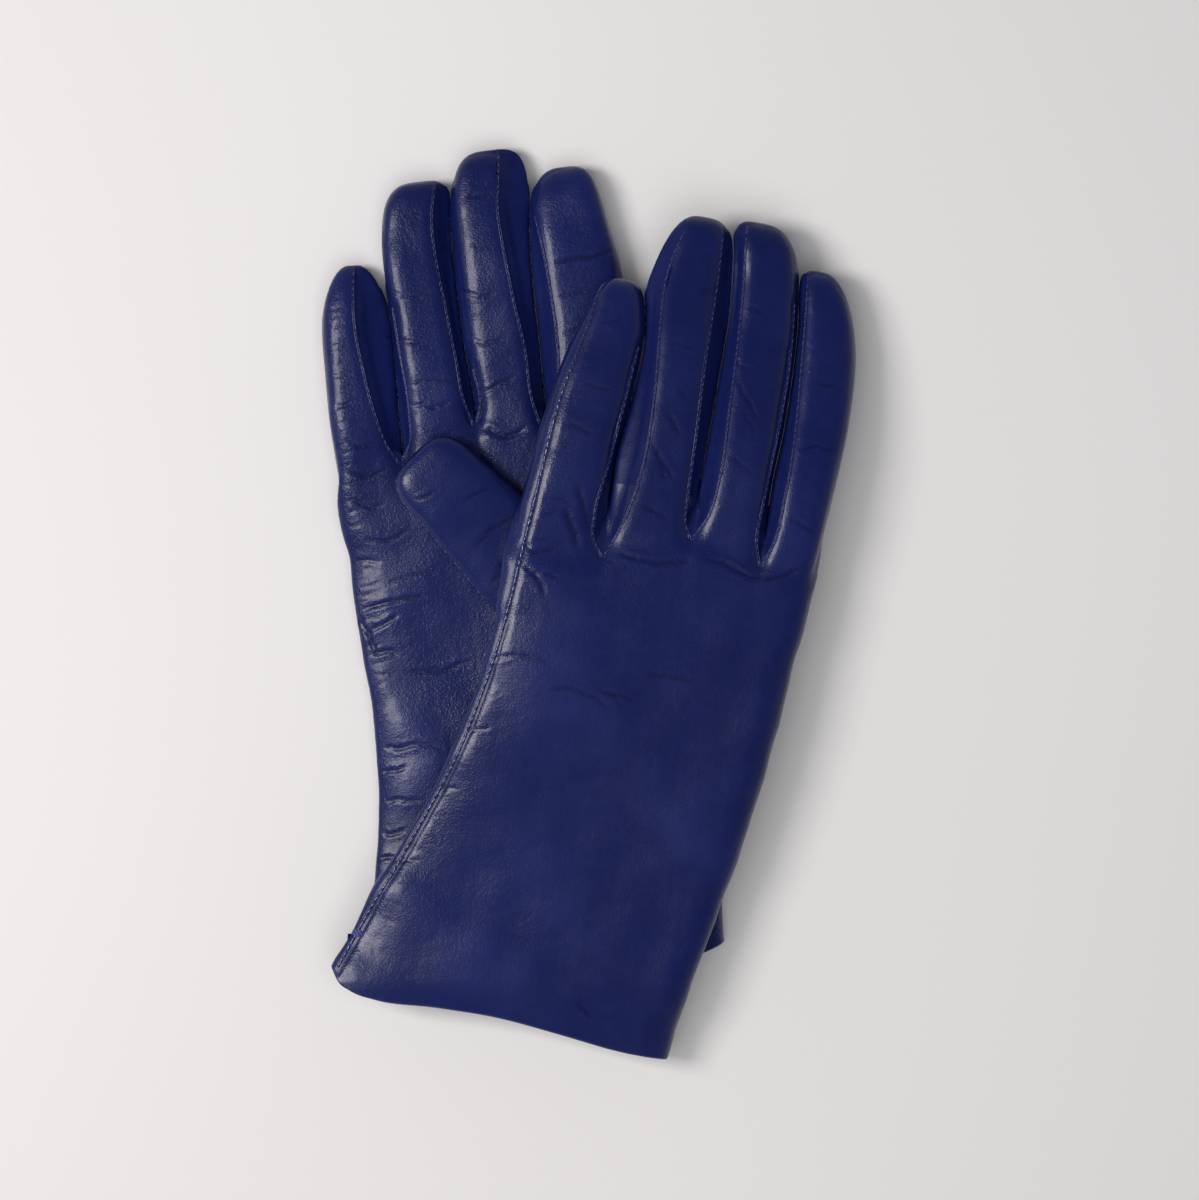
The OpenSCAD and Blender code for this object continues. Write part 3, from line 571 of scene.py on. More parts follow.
def shape_surface(glove, p, normals):
    """Soft undulation, valleys along the seams, creases, the clearance between fingers and the wrist's
    gathers. Returns heights along the normals, and the values per vertex that the leather reads."""
    u, v = p[:, 0], p[:, 1]
    uv = p[:, :2]
    left = glove.side == "left"
    broad = waves(11 if left else 12, 9, 34, 80)(u, v)
    medium = waves(21 if left else 22, 16, 12, 26)(u, v)
    fine = waves(5, 26, 3.2, 7)(u, v)
    from_cuff = smooth((v - glove.cuff(u)[0]) / 14)
    height = (0.5 * broad + 0.14 * medium) * (0.35 + 0.65 * from_cuff) + 0.02 * fine
    up = smooth((normals[:, 2] + 0.15) / 0.5)
    deeper = 0.9 if left else 1.2
    creases = [(path, 0.55 * width, deeper * depth)
               for path, width, depth in CREASES[glove.side] + small_creases(glove.side)]
    folds, shade_lines, zones = crease_heights(uv, up, creases, 100)
    height += folds
    seam = np.full(len(p), NO_SEAM)
    polish = np.zeros(len(p))
    on_top = normals[:, 2] > -0.1
    for _, line in seam_paths(glove):
        seam = np.minimum(seam, np.where(on_top, to_path(uv, line[::2])[0], NO_SEAM))
    height -= 0.35 * np.exp(-(seam / 1.5) ** 2)
    if left:
        side = np.where(on_top, to_path(uv, [(b, a) for a, b in LEFT_SIDE])[0], NO_SEAM)
        height -= 0.3 * np.exp(-(side / 0.8) ** 2)
        seam = np.minimum(seam, side)
        # the panel's edge beside the side seam is polished, up to the root of the little finger
        beyond = u - table(LEFT_SIDE)(v)[0]
        band = np.exp(-np.clip(beyond - 0.6, 0, None) / 1.8) * smooth(beyond / 0.6)
        polish = band * (normals[:, 2] > 0) * smooth((78 - v) / 40)
    # neighbouring fingers keep a narrow clearance all along
    steep = smooth((0.62 - np.abs(normals[:, 2])) / 0.3) * (v > min(f.split for f in glove.fingers) - 16)
    height = height * (1 - steep)
    other = np.sort([f.field(u, v, p[:, 2]) for f in glove.fingers], axis=0)[1]
    height += np.clip((other - 0.16) / 2, 0, 0.35) * steep * smooth((2 - other) / 0.6)
    # the elastic gathers the palm side of the wrist into fine pleats along the glove
    wrist = -38.0 if left else -46.0
    palm = (normals[:, 2] < 0) if left else (normals[:, 2] > 0) * smooth((u + 52) / 12)
    reach = smooth(1 - np.abs(v - wrist) / 15) * palm
    pleat = np.sin(2 * math.pi * (u / 4.1 + 0.35 * np.sin(u / 7) + 0.02 * (v - wrist)))
    height += reach * (0.32 * pleat - 0.35)
    shade_lines, zones = np.clip(shade_lines, 0, 1), np.clip(zones, 0, 1)
    return height, {"seam": seam, "crease": shade_lines, "zone": zones, "polish": polish}


# ------------------------------------------------------------------ objects

def link(name, data):
    """A new object in the scene."""
    obj = bpy.data.objects.new(name, data)
    bpy.context.scene.collection.objects.link(obj)
    return obj


def new_mesh(name, verts, faces, material, values=None, normals=None):
    """An object from vertices in millimetres, with smooth shading, and named values per vertex."""
    mesh = bpy.data.meshes.new(name)
    mesh.from_pydata((np.asarray(verts) * MM).tolist(), [], [tuple(map(int, f)) for f in faces])
    mesh.polygons.foreach_set("use_smooth", [True] * len(mesh.polygons))
    for key, data in (values or {}).items():
        a = mesh.attributes.new(key, "FLOAT", "POINT")
        a.data.foreach_set("value", np.asarray(data, np.float32))
    if normals is not None:
        mesh.normals_split_custom_set_from_vertices(normals.tolist())
    mesh.update()
    mesh.materials.append(material)
    return link(name, mesh)


def glove_mesh(name, glove, verts, faces, material, values=None, normals=None):
    """An object from vertices, and their normals if given, in a glove's plan."""
    if normals is not None:
        normals = glove.world_normals(verts, normals)
    return new_mesh(name, glove.world(verts), faces, material, values, normals)


def part_of(verts, faces, keep):
    """The faces in keep, with their vertices renumbered. Also returns which vertices were kept."""
    f = faces[keep]
    used = np.unique(f)
    renumber = np.full(len(verts), -1)
    renumber[used] = np.arange(len(used))
    return verts[used], renumber[f], used


def stem(glove, name):
    """The start of the names of a finger's pieces. Only the tip of the right index finger moves."""
    return glove.side + "_" + name + ("_tip" if (glove.side, name) == ("right", "index") else "")


def attach(obj, glove, name, nodes):
    """Rides on the hand; any other piece keeps its place, with its transform baked in."""
    hand = glove.side + "_hand"
    if name == "hand":
        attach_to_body(obj, hand)
    else:
        body = stem(glove, name)
        if not body.endswith("_tip"):
            body += "_finger"
        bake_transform(obj)
    if nodes:
        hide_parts(*nodes)


def owner(glove, p):
    """0 for the hand, 1 to 4 for the fingers from little to index, and the nearest finger on its own."""
    near = np.argmin([f.field(p[:, 0], p[:, 1], p[:, 2]) for f in glove.fingers], axis=0)
    split = np.array([f.split for f in glove.fingers])[near]
    return np.where(p[:, 1] >= split, near + 1, 0), near


# ------------------------------------------------------------------ materials

class Nodes:
    """A short way to write a node material."""

    def __init__(self, name):
        self.mat = bpy.data.materials.new(name)
        self.mat.use_nodes = True
        self.tree = self.mat.node_tree
        self.bsdf = self.tree.nodes["Principled BSDF"]

    def add(self, kind, **given):
        n = self.tree.nodes.new(kind)
        for key, value in given.items():
            setattr(n, key, value)
        return n

    def put(self, socket, value):
        if isinstance(value, bpy.types.NodeSocket):
            self.tree.links.new(value, socket)
        else:
            socket.default_value = value

    def coords(self):
        return self.add("ShaderNodeTexCoord").outputs["Object"]

    def noise(self, where, scale, detail=3.0, rough=0.55):
        n = self.add("ShaderNodeTexNoise")
        self.put(n.inputs["Vector"], where)
        n.inputs["Scale"].default_value = scale
        n.inputs["Detail"].default_value = detail
        n.inputs["Roughness"].default_value = rough
        return n.outputs["Fac"]

    def cells(self, where, scale, feature="F1"):
        n = self.add("ShaderNodeTexVoronoi", feature=feature)
        self.put(n.inputs["Vector"], where)
        n.inputs["Scale"].default_value = scale
        return n.outputs["Distance"]

    def span(self, value, a, b, c, d):
        n = self.add("ShaderNodeMapRange")
        self.put(n.inputs["Value"], value)
        for key, x in zip(("From Min", "From Max", "To Min", "To Max"), (a, b, c, d)):
            n.inputs[key].default_value = x
        return n.outputs["Result"]

    def math(self, op, a, b=0.0):
        n = self.add("ShaderNodeMath", operation=op)
        self.put(n.inputs[0], a)
        self.put(n.inputs[1], b)
        return n.outputs[0]

    def mix(self, factor, a, b):
        n = self.add("ShaderNodeMix", data_type="RGBA")
        self.put(n.inputs[0], factor)
        self.put(n.inputs[6], a)
        self.put(n.inputs[7], b)
        return n.outputs[2]

    def attribute(self, name):
        return self.add("ShaderNodeAttribute", attribute_name=name).outputs["Fac"]

    def stretched(self, where, scale, rotation=(0, 0, 0)):
        n = self.add("ShaderNodeMapping")
        self.put(n.inputs["Vector"], where)
        n.inputs["Rotation"].default_value = rotation
        n.inputs["Scale"].default_value = scale
        return n.outputs[0]

    def bands(self, where, direction, scale, distortion):
        n = self.add("ShaderNodeTexWave", wave_type="BANDS", bands_direction=direction)
        self.put(n.inputs["Vector"], where)
        n.inputs["Scale"].default_value = scale
        n.inputs["Distortion"].default_value = distortion
        return n.outputs["Fac"]

    def warped(self, where, scale, reach):
        """Places pushed about a little, so that cells lose their straight edges."""
        wobble = self.add("ShaderNodeTexNoise")
        self.put(wobble.inputs["Vector"], where)
        wobble.inputs["Scale"].default_value = scale
        push = self.add("ShaderNodeVectorMath", operation="SCALE")
        self.put(push.inputs[0], wobble.outputs["Color"])
        push.inputs["Scale"].default_value = reach
        moved = self.add("ShaderNodeVectorMath", operation="ADD")
        self.put(moved.inputs[0], where)
        self.put(moved.inputs[1], push.outputs[0])
        return moved.outputs[0]

    def bump(self, height, distance, strength=1.0, onto=None):
        n = self.add("ShaderNodeBump")
        self.put(n.inputs["Height"], height)
        n.inputs["Distance"].default_value = distance
        n.inputs["Strength"].default_value = strength
        if onto is not None:
            self.put(n.inputs["Normal"], onto)
        return n.outputs["Normal"]

    def set(self, **given):
        for key, value in given.items():
            self.put(self.bsdf.inputs[key.replace("_", " ")], value)


def srgb(r, g, b):
    def one(c):
        c /= 255
        return c / 12.92 if c <= 0.04045 else ((c + 0.055) / 1.055) ** 2.4
    return (one(r), one(g), one(b), 1)


def leather(name, base, deep, pale, gloss=0.34, level=0.3, coat=0.25, wrinkle=1.0):
    """Dyed nappa: a fine grain, shallow wrinkles, painted shade in the seams' valleys and along the creases,
    and paler on raised leather, which is rubbed wear with a painted highlight. Scales are per metre."""
    n = Nodes(name)
    at = n.coords()
    cloud = n.noise(at, 22, 3)
    mottle = n.noise(at, 260, 3)
    colour = n.mix(n.span(cloud, 0.3, 0.72, 0, 0.6), base, deep)
    colour = n.mix(n.span(mottle, 0.45, 0.8, 0, 0.16), colour, pale)
    seam = n.attribute("seam")
    # painted shade: darker in a seam's valley, within 1.5 mm of the seam's line
    colour = n.mix(n.span(seam, 0.2, 1.5, 0.6, 0), colour, deep)
    # painted shade along the dark line of each crease
    colour = n.mix(n.math("MULTIPLY", n.attribute("crease"), 0.6), colour, CREASE_SHADE)
    # paler on raised leather: rubbed wear together with a painted highlight
    colour = n.mix(n.span(n.attribute("rub_and_highlight"), 0, 1, 0, 0.35), colour, pale)
    place = n.warped(at, 500, 0.0012)
    grain = n.cells(place, 1800)
    pores = n.cells(place, 800)
    folds = n.noise(at, 300, 3, 0.6)
    # fine wrinkles across the glove, deep only where the leather is creased
    lines = n.noise(n.stretched(place, (110, 560, 300), (0, 0, 0.25)), 1.0, 3, 0.55)
    ridge = n.span(n.math("ABSOLUTE", n.math("SUBTRACT", lines, 0.5)), 0, 0.06, 0, 1)
    fold = n.math("MULTIPLY", ridge, n.span(n.attribute("zone"), 0, 1, 0.05 * wrinkle - 0.03, 1))
    normal = n.bump(grain, 0.00010, 0.5 * wrinkle)
    normal = n.bump(pores, 0.00012, 0.28 * wrinkle, normal)
    normal = n.bump(folds, 0.00010, 0.2 * wrinkle, normal)
    normal = n.bump(fold, 0.00012, 0.5, normal)
    rough = n.span(n.noise(at, 70, 4), 0.3, 0.7, gloss - 0.03, gloss + 0.06)
    rough = n.math("ADD", rough, n.span(seam, 0.2, 1.8, 0.06, 0))
    rough = n.math("SUBTRACT", rough, n.math("MULTIPLY", n.attribute("polish"), 0.14))
    n.set(Base_Color=colour, Roughness=rough, Normal=normal, IOR=1.5, Specular_IOR_Level=level,
          Coat_Weight=coat, Coat_Roughness=0.17, Coat_IOR=1.45)
    return n.mat


def knit(name, base, deep):
    """The lining's fine knit: rows of small loops."""
    n = Nodes(name)
    at = n.coords()
    loops = n.cells(n.stretched(at, (900, 620, 900)), 1.0)
    rows = n.bands(at, "X", 140, 0.6)
    fuzz = n.noise(at, 1400, 2)
    colour = n.mix(n.span(loops, 0.1, 0.7, 0, 1), base, deep)
    colour = n.mix(n.span(fuzz, 0.45, 0.8, 0, 0.35), colour, base)
    normal = n.bump(n.math("ADD", n.math("MULTIPLY", loops, -1.0), rows), 0.00022, 0.8)
    n.set(Base_Color=colour, Roughness=n.span(fuzz, 0.3, 0.7, 0.75, 0.95), Normal=normal,
          Sheen_Weight=0.35, Sheen_Roughness=0.4)
    return n.mat


def twist(name, base, deep, ribs, rough):
    """Thread or ribbed elastic: fine bands across a slightly shiny yarn."""
    n = Nodes(name)
    at = n.coords()
    bands = n.bands(at, "DIAGONAL", ribs / 6.28, 0.5)
    fuzz = n.noise(at, 2400, 2)
    colour = n.mix(n.span(bands, 0.2, 0.8, 0, 1), deep, base)
    colour = n.mix(n.span(fuzz, 0.5, 0.8, 0, 0.3), colour, deep)
    n.set(Base_Color=colour, Roughness=n.span(fuzz, 0.3, 0.7, rough - 0.08, rough + 0.1),
          Normal=n.bump(bands, 0.00008, 0.7), Sheen_Weight=0.15)
    return n.mat


# the last colour is a painted shade for the dark lines of the creases
NAVY, DEEP, PALE, CREASE_SHADE = srgb(18, 30, 87), srgb(13, 22, 69), srgb(35, 46, 109), srgb(8, 12, 44)
M_LEATHER = leather("nappa_leather", NAVY, DEEP, PALE)
M_PALM = leather("nappa_palm", NAVY, DEEP, PALE, wrinkle=1.5)
M_SIDE = leather("nappa_fourchette", NAVY, DEEP, PALE, 0.44, 0.15, 0.03)
M_SEAM = leather("nappa_seam", NAVY, DEEP, PALE, 0.25, 0.6, 0.5)
M_HEM = leather("nappa_hem", NAVY, DEEP, srgb(50, 55, 125), 0.42)
M_LINING = knit("knit_lining", srgb(24, 27, 62), srgb(13, 15, 40))
M_THREAD = twist("sewing_thread", srgb(76, 83, 150), srgb(36, 42, 100), 3000, 0.36)
M_ELASTIC = twist("elastic_band", srgb(34, 36, 62), srgb(16, 17, 34), 1200, 0.6)


# ------------------------------------------------------------------ strips and stitches

# Profiles of a turned seam, from one edge to the other: places across and heights. The first two
# are closed below by seam_strip.
FINGER_SEAM = ([-1.0, -0.84, -0.62, -0.4, -0.2, -0.05, 0.1, 0.28, 0.5, 0.75, 1.0],
               [-0.3, 0.3, 0.72, 0.66, 0.15, -0.15, 0.2, 0.8, 1.0, 0.6, -0.3])
SIDE_SEAM = ([-1.0, -0.9, -0.75, -0.55, -0.38, -0.24, -0.12, 0.0, 0.1, 0.2, 0.3],
             [-0.4, 0.0, 0.35, 0.5, 0.45, 0.2, -0.1, -0.35, -0.5, -0.6, -0.8])
THUMB_SEAM = ([-1.0, -0.78, -0.5, -0.24, 0, 0.24, 0.5, 0.78, 1.0, 0.8, -0.8],
              [-0.25, 0.42, 0.9, 0.8, 0.28, 0.8, 0.9, 0.42, -0.25, -1.2, -1.2])


def ray_tree(p, quads):
    return BVHTree.FromPolygons([tuple(map(float, x)) for x in p], [tuple(map(int, q)) for q in quads])


def drop(tree, pts, up=True):
    """Where lines of plan points meet the skin seen from above or below, and the skin's normals there."""
    hit, nor = [], []
    clear, inside = (60, 8) if up else (-60, 2)
    for x, y in pts:
        loc, n, _, _ = tree.ray_cast(Vector((x, y, clear)), Vector((0, 0, -clear)))
        if loc is None:
            loc, n, _, _ = tree.find_nearest(Vector((x, y, inside)))
        hit.append(tuple(loc))
        nor.append(tuple(n if (n.z > 0) == up or abs(n.z) < 0.2 else -n))
    return np.array(hit), np.array(nor)


def smooth_line(a, rounds):
    a = a.copy()
    for _ in range(rounds):
        a[1:-1] = (a[:-2] + 2 * a[1:-1] + a[2:]) / 4
    return a


def resample(line, step):
    run = run_along(line)
    s = np.linspace(0, run[-1], max(4, int(run[-1] / step) + 1))
    return np.stack([np.interp(s, run, line[:, k]) for k in range(line.shape[1])], 1), s


def tube_faces(rings, around, closed=True):
    """Quads between rings of points that follow one another, with a face over each end if closed."""
    faces = [(i * around + j, i * around + (j + 1) % around, (i + 1) * around + (j + 1) % around,
              (i + 1) * around + j) for i in range(rings - 1) for j in range(around)]
    if closed:
        faces += [tuple(range(around))[::-1], tuple((rings - 1) * around + j for j in range(around))]
    return faces


def strip_lines(hit, nor):
    """A seam's line and normals made even, with its directions along and to the side."""
    hit, nor = smooth_line(hit, 6), unit(smooth_line(nor, 12))
    along = unit(np.gradient(hit, axis=0))
    return hit, nor, along, np.cross(along, nor)


def strip_rings(hit, nor, side, profile, w, h):
    across, rise = np.array(profile)
    return (hit[:, None] + side[:, None] * (across[None, :, None] * w[:, None, None])
            + nor[:, None] * (rise[None, :, None] * h[:, None, None]))


def strip_fade(run):
    """The height of a strip along its length: it rises over two millimetres at each end."""
    return 0.1 + 0.9 * smooth(run / 2.0) * smooth((run[-1] - run) / 2.0)


def seam_strip(tree, line, size, pitch, profile, up=True):
    """A closed raised strip along a seam: turned edges with the join between them, narrower and lower
    between the stitches. Also returns what stitches() needs."""
    pts, run = resample(line, 0.36)
    hit, nor, along, side = strip_lines(*drop(tree, pts, up))
    side = unit(side)
    pull = 0.5 - 0.5 * np.cos(2 * math.pi * run / pitch)
    w = size * (0.9 + 0.1 * pull)
    h = size * 0.48 * (0.72 + 0.28 * pull) * strip_fade(run)
    top = strip_rings(hit, nor, side, profile, w, h)
    # two points under the strip's edges, in the leather
    edges = np.array(profile[0])[[-2, 1]]
    low = hit[:, None] + side[:, None] * (edges[None, :, None] * w[:, None, None]) - nor[:, None] * 0.9
    ring = np.concatenate([top, low], 1)
    verts = ring.reshape(-1, 3)
    verts[:, 2] = np.maximum(verts[:, 2], SEAM_FLOOR)
    return verts, tube_faces(*ring.shape[:2]), (hit, nor, side, along, run, h)


def capsule(a, b, r):
    """A short thread stitch with round ends, from a to b."""
    sides = 6
    d = b - a
    size = np.linalg.norm(d)
    d /= size
    x = np.cross(d, [0.3, 0.2, 0.93])
    x /= np.linalg.norm(x)
    y = np.cross(d, x)
    rows = [(-0.7 * r, 0.45), (0.0, 0.9), (size / 2, 1.08), (size, 0.9), (size + 0.7 * r, 0.45)]
    verts = [a + d * s + (x * math.cos(t) + y * math.sin(t)) * r * k
             for s, k in rows for t in np.arange(sides) * 2 * math.pi / sides]
    return verts, tube_faces(len(rows), sides)


def gather(pieces):
    """Several meshes as one."""
    verts, faces, base = [], [], 0
    for v, f in pieces:
        verts.extend(np.asarray(v).tolist())
        faces.extend([tuple(i + base for i in q) for q in f])
        base += len(v)
    return np.array(verts), faces


def stitches(strip, pitch, r=0.15, length=0.5, lift=0.13, shift=0.0):
    """Small stitches lying in the join of a seam strip. Length is a share of the pitch."""
    hit, nor, side, along, run, h = strip
    out = []
    for s in np.arange(pitch * 0.75, run[-1] - pitch * 0.5, pitch):
        i = int(np.clip(np.searchsorted(run, s), 1, len(run) - 2))
        c = hit[i] + nor[i] * (h[i] * 0.15 + lift) + side[i] * shift
        c[2] = max(c[2], 1.2 * r)
        d = along[i] * pitch * length / 2 + side[i] * 0.12
        out.append(capsule(c - d, c + d, r))
    return gather(out)


def plain(count, rub_and_highlight=0.3, seam=ON_SEAM_ROLL):
    """The leather's values for a piece without creases or painted seam shade, paler by rub, which is rubbed
    wear with a painted highlight.
    """
    return {"seam": np.full(count, seam), "crease": np.zeros(count), "rub_and_highlight": rub_and_highlight * np.ones(count)}


# ------------------------------------------------------------------ building a glove

def glove_skin(glove):
    """The skin before and after its folds, its quads, its open end, its normals and its values."""
    points, quads, first = extract(glove, 0.0, 0.0, CELL)
    out = unit(gradient(glove.field, points))
    height, values = shape_surface(glove, points, out)
    height = height * np.where(first, 0.5, 1)
    moved = out * height[:, None]
    moved[first, 1] = 0
    skin = points + moved
    # leather lying on a surface stays flat there
    skin[:, 2] = np.maximum(skin[:, 2], SKIN_FLOOR)
    normals = soften(vertex_normals(skin, quads), quads)
    # paler where the skin is raised and faces up: rubbed wear with a painted highlight on top
    values["rub_and_highlight"] = np.clip(height / 0.8, 0, 1) * smooth(normals[:, 2])
    return points, skin, quads, first, normals, values


def side_walls(glove, centre, band):
    """Which faces belong to the fourchettes, the side panels of the fingers."""
    u, v, z = centre.T
    wall = np.zeros(len(u), bool)
    for k, f in enumerate(glove.fingers):
        uc, w = f.curve(v)
        h = f.half(v)[0]
        for line, first, _, sign in f.seams:
            upper = (z >= h) & (sign * (u - line(v)[0]) > 0)
            lower = (z < h) & (sign * (u - uc) > 0.9 * w)
            wall |= (band == k) & (upper | lower) & (v > first) & (v < f.tip - 1.5)
    return wall


def leather_pieces(glove, skin, quads, normals, values):
    """The skin cut into the hand, the fingers and their fourchettes."""
    right = glove.side == "right"
    face = M_PALM if right else M_LEATHER
    centre = skin[quads].mean(1)
    who, band = owner(glove, centre)
    wall = side_walls(glove, centre, band)

    def piece(name, owner_name, keep, nodes, material):
        p, f, used = part_of(skin, quads, keep)
        here = {key: value[used] for key, value in values.items()}
        obj = glove_mesh(name, glove, p, f, material, here, normals[used])
        attach(obj, glove, owner_name, nodes)

    base = ["right_index_base_leather", "right_index_base_fourchette"] if right else []
    piece(glove.side + "_hand_skin", "hand", who == 0, [glove.side + "_hand_leather"] + base, face)
    for k, name in enumerate(FINGERS):
        start = stem(glove, name)
        panels = start + ("_fourchettes" if name in ("ring", "middle") else "_fourchette")
        piece(start + "_skin", name, (who == k + 1) & ~wall, [start + "_leather"], face)
        piece(start + "_walls", name, (who == k + 1) & wall, [panels], M_SIDE)


def lining_pieces(glove):
    """The knit lining: the glove's own shape, a little inside the skin."""
    inner, quads, _ = extract(glove, LINING_INSET, LINING_START, LINING_CELL)
    who, _ = owner(glove, inner[quads].mean(1))
    for k, name in enumerate(["hand"] + FINGERS):
        p, f, _ = part_of(inner, quads, who == k)
        start = stem(glove, name)
        obj = glove_mesh(start + "_knit", glove, p, f, M_LINING)
        base = ["right_index_base_lining"] if start == "right_hand" else []
        attach(obj, glove, name, [start + "_lining"] + base)


def cuff_edge(glove, base, rim):
    """The cuff's edge, turned in, and its facing. Base and rim are the open end's points before and
    after the skin's folds."""
    out = gradient(glove.field, base)
    out[:, 1] = 0
    out = unit(out)
    rings = [rim]
    for back, deep in ((-0.35, 0.1), (-0.6, 0.45), (-0.6, 0.95), (-0.3, 1.3)):
        q = rim - out * deep
        q[:, 1] += back
        rings.append(q)

    def facing(u, v, z):
        return glove.field(u, v, z) + FACING_INSET
    for reach in (0.6, 1.6, 3, 5, 7, 8.6, 9.6, 10):
        q = base.copy()
        q[:, 1] += reach
        rings.append(settle(facing, q, np.ones(len(q), bool), 5))
    verts = np.concatenate(rings)
    faces = tube_faces(len(rings), len(rim), closed=False)
    # the turned rim is paler: rubbed wear with a painted highlight on its roll
    rub_and_highlight = np.repeat([0.5, 0.6, 0.5] + [0.0] * (len(rings) - 3), len(rim))
    obj = glove_mesh(glove.side + "_cuff_edge", glove, verts, faces, M_HEM, plain(len(verts), rub_and_highlight, NO_SEAM))
    attach(obj, glove, "hand", [glove.side + "_cuff_hem"])


def finger_seams(glove, tree):
    """The raised seams on the backs of the fingers, and their stitches."""
    strips = {}
    for name, line in seam_paths(glove):
        strips.setdefault(name, []).append(seam_strip(tree, line, 0.6, STITCH_PITCH, FINGER_SEAM))
    for name, group in strips.items():
        start = glove.side + "_" + name
        verts, faces = gather([(v, f) for v, f, _ in group])
        obj = glove_mesh(start + "_seams", glove, verts, faces, M_LEATHER, plain(len(verts)))
        attach(obj, glove, name, [])
        verts, faces = gather([stitches(strip, STITCH_PITCH) for _, _, strip in group])
        obj = glove_mesh(start + "_stitches", glove, verts, faces, M_THREAD)
        attach(obj, glove, name, [])


def rim_loop(quads, first):
    """The open edge's vertices in order."""
    seen = {}
    for a, b in ((0, 1), (1, 2), (2, 3), (3, 0)):
        both = first[quads[:, a]] & first[quads[:, b]]
        for i, j in quads[both][:, [a, b]]:
            key = (min(i, j), max(i, j))
            seen.setdefault(key, []).append((i, j))
    after = {}
    for pair in seen.values():
        if len(pair) == 1:
            i, j = pair[0]
            after[i] = j
    start = next(iter(after))
    out, at = [], start
    while at in after and len(out) <= len(after):
        out.append(at)
        at = after[at]
        if at == start:
            break
    return np.array(out)


def build_glove(glove):
    """All of a glove but its side seam, its thumb and its elastic. Returns the skin for rays."""
    points, skin, quads, first, normals, values = glove_skin(glove)
    leather_pieces(glove, skin, quads, normals, values)
    lining_pieces(glove)
    loop = rim_loop(quads, first)
    cuff_edge(glove, points[loop], skin[loop])
    tree = ray_tree(skin, quads)
    finger_seams(glove, tree)
    return tree


right_tree = build_glove(RIGHT)
left_tree = build_glove(LEFT)


# ------------------------------------------------------------------ side seams and bar tacks

def side_seam(glove, tree, rows, v0, v1, tack_v, up):
    """The long outer seam of a glove with its stitches, and the bar tack above the cuff."""
    side = glove.side
    v = np.linspace(v0, v1, 300)
    line = np.stack([table(rows)(v)[0], v], 1)
    verts, faces, strip = seam_strip(tree, line, 1.5, SIDE_PITCH, SIDE_SEAM, up)
    obj = glove_mesh(side + "_side_seam", glove, verts, faces, M_SEAM, plain(len(verts), 0.25))
    attach(obj, glove, "little", [])
    verts, faces = stitches(strip, SIDE_PITCH, 0.1, 0.4, 0.1, -0.42)
    obj = glove_mesh(side + "_side_stitches", glove, verts, faces, M_THREAD)
    attach(obj, glove, "little", [side + "_side_seam_thread"])
    hit, nor, across, along, _, h = strip
    i = int(np.argmin(np.abs(hit[:, 1] - tack_v)))
    bars = []
    for k in range(7):
        c = hit[i] + along[i] * (k - 3) * 0.28 + nor[i] * (h[i] * 0.5 + 0.1)
        bars.append(capsule(c - across[i] * 1.7 - nor[i] * 0.15, c + across[i] * 1.1 - nor[i] * 0.1, 0.19))
    verts, faces = gather(bars)
    obj = glove_mesh(side + "_bar_tack", glove, verts, faces, M_THREAD)
    attach(obj, glove, "hand", [side + "_seam_tack"])


side_seam(LEFT, left_tree, LEFT_SIDE, -118.4, 92.2, -107, True)
side_seam(RIGHT, right_tree, RIGHT_SIDE, -96.5, 98, -94, False)


# ------------------------------------------------------------------ thumbs

TIP_REACH = 12  # over which a thumb closes towards its tip


def tip_width(closing):
    """The share of its width that a thumb keeps where it closes, from 0 to 1 at the very end."""
    return np.clip(1 - closing ** 3.4, 0, 1) ** (1 / 3.2)


def seam_height(z, h):
    """A thumb's seam lies a little above the middle of its side."""
    return z + h * 0.35


class Thumb:
    """Lofted along its own line. Rows are the distance from its root, half width, half thickness, and
    height of its middle. The seam is on the side seam_side of the line. Pieces given two bodies keep
    their place with the transform baked in. The seam's own pieces are placed with bodies as well."""

    def __init__(self, root, angle, rows, heel, tip, seam_side, joint, bodies):
        self.root, self.angle, self.heel, self.tip = root, math.radians(angle), heel, tip
        self.curve, self.seam_side, self.joint, self.bodies = table(rows), seam_side, joint, bodies

    def rings(self, inset, step, around):
        """Points of the thumb's rings, from the closed heel to the closed tip."""
        first, last = -self.heel + inset, self.tip - inset
        n = int((last - first) / step)
        k = (1 - np.cos(np.linspace(0, math.pi, n))) / 2
        t = first + (last - first) * (0.35 * k + 0.65 * np.linspace(0, 1, n))
        w, h, z = self.curve(np.clip(t, 0, self.tip))
        end = np.clip((t - (last - TIP_REACH)) / TIP_REACH, 0, 1)
        start = np.clip(((first + self.heel * 0.9) - t) / (self.heel * 0.9), 0, 1)
        close = tip_width(np.maximum(end, start))
        flat = np.clip(1 - np.maximum(end, start) ** 7, 0, 1) ** (1 / 2.5)
        a = np.linspace(0, 2 * math.pi, around, endpoint=False)
        c, s = np.cos(a), np.sin(a)
        px = np.sign(c) * np.abs(c) ** (2 / 3.6)
        pz = np.sign(s) * np.abs(s) ** (2 / 3.0)
        across = ((w - inset) * close)[:, None] * px
        height = z[:, None] + ((h - inset) * flat)[:, None] * pz
        return np.stack([np.repeat(t[:, None], around, 1), across, height], 2)

    def world(self, p):
        x, y = turned(p[:, 0], p[:, 1], self.angle)
        return np.stack([self.root[0] + x + SHIFT, self.root[1] + y, p[:, 2]], 1)

    def place(self, obj, body, slot):
        """Rides on one body; given two, the piece keeps its place with its transform baked in."""
        if isinstance(body, str):
            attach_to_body(obj, body)
        else:
            ends = np.array([[self.joint + reach, 0, 15] for reach in (-THUMB_BEND, THUMB_BEND)])
            start, end = self.world(ends) * MM
            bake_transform(obj)


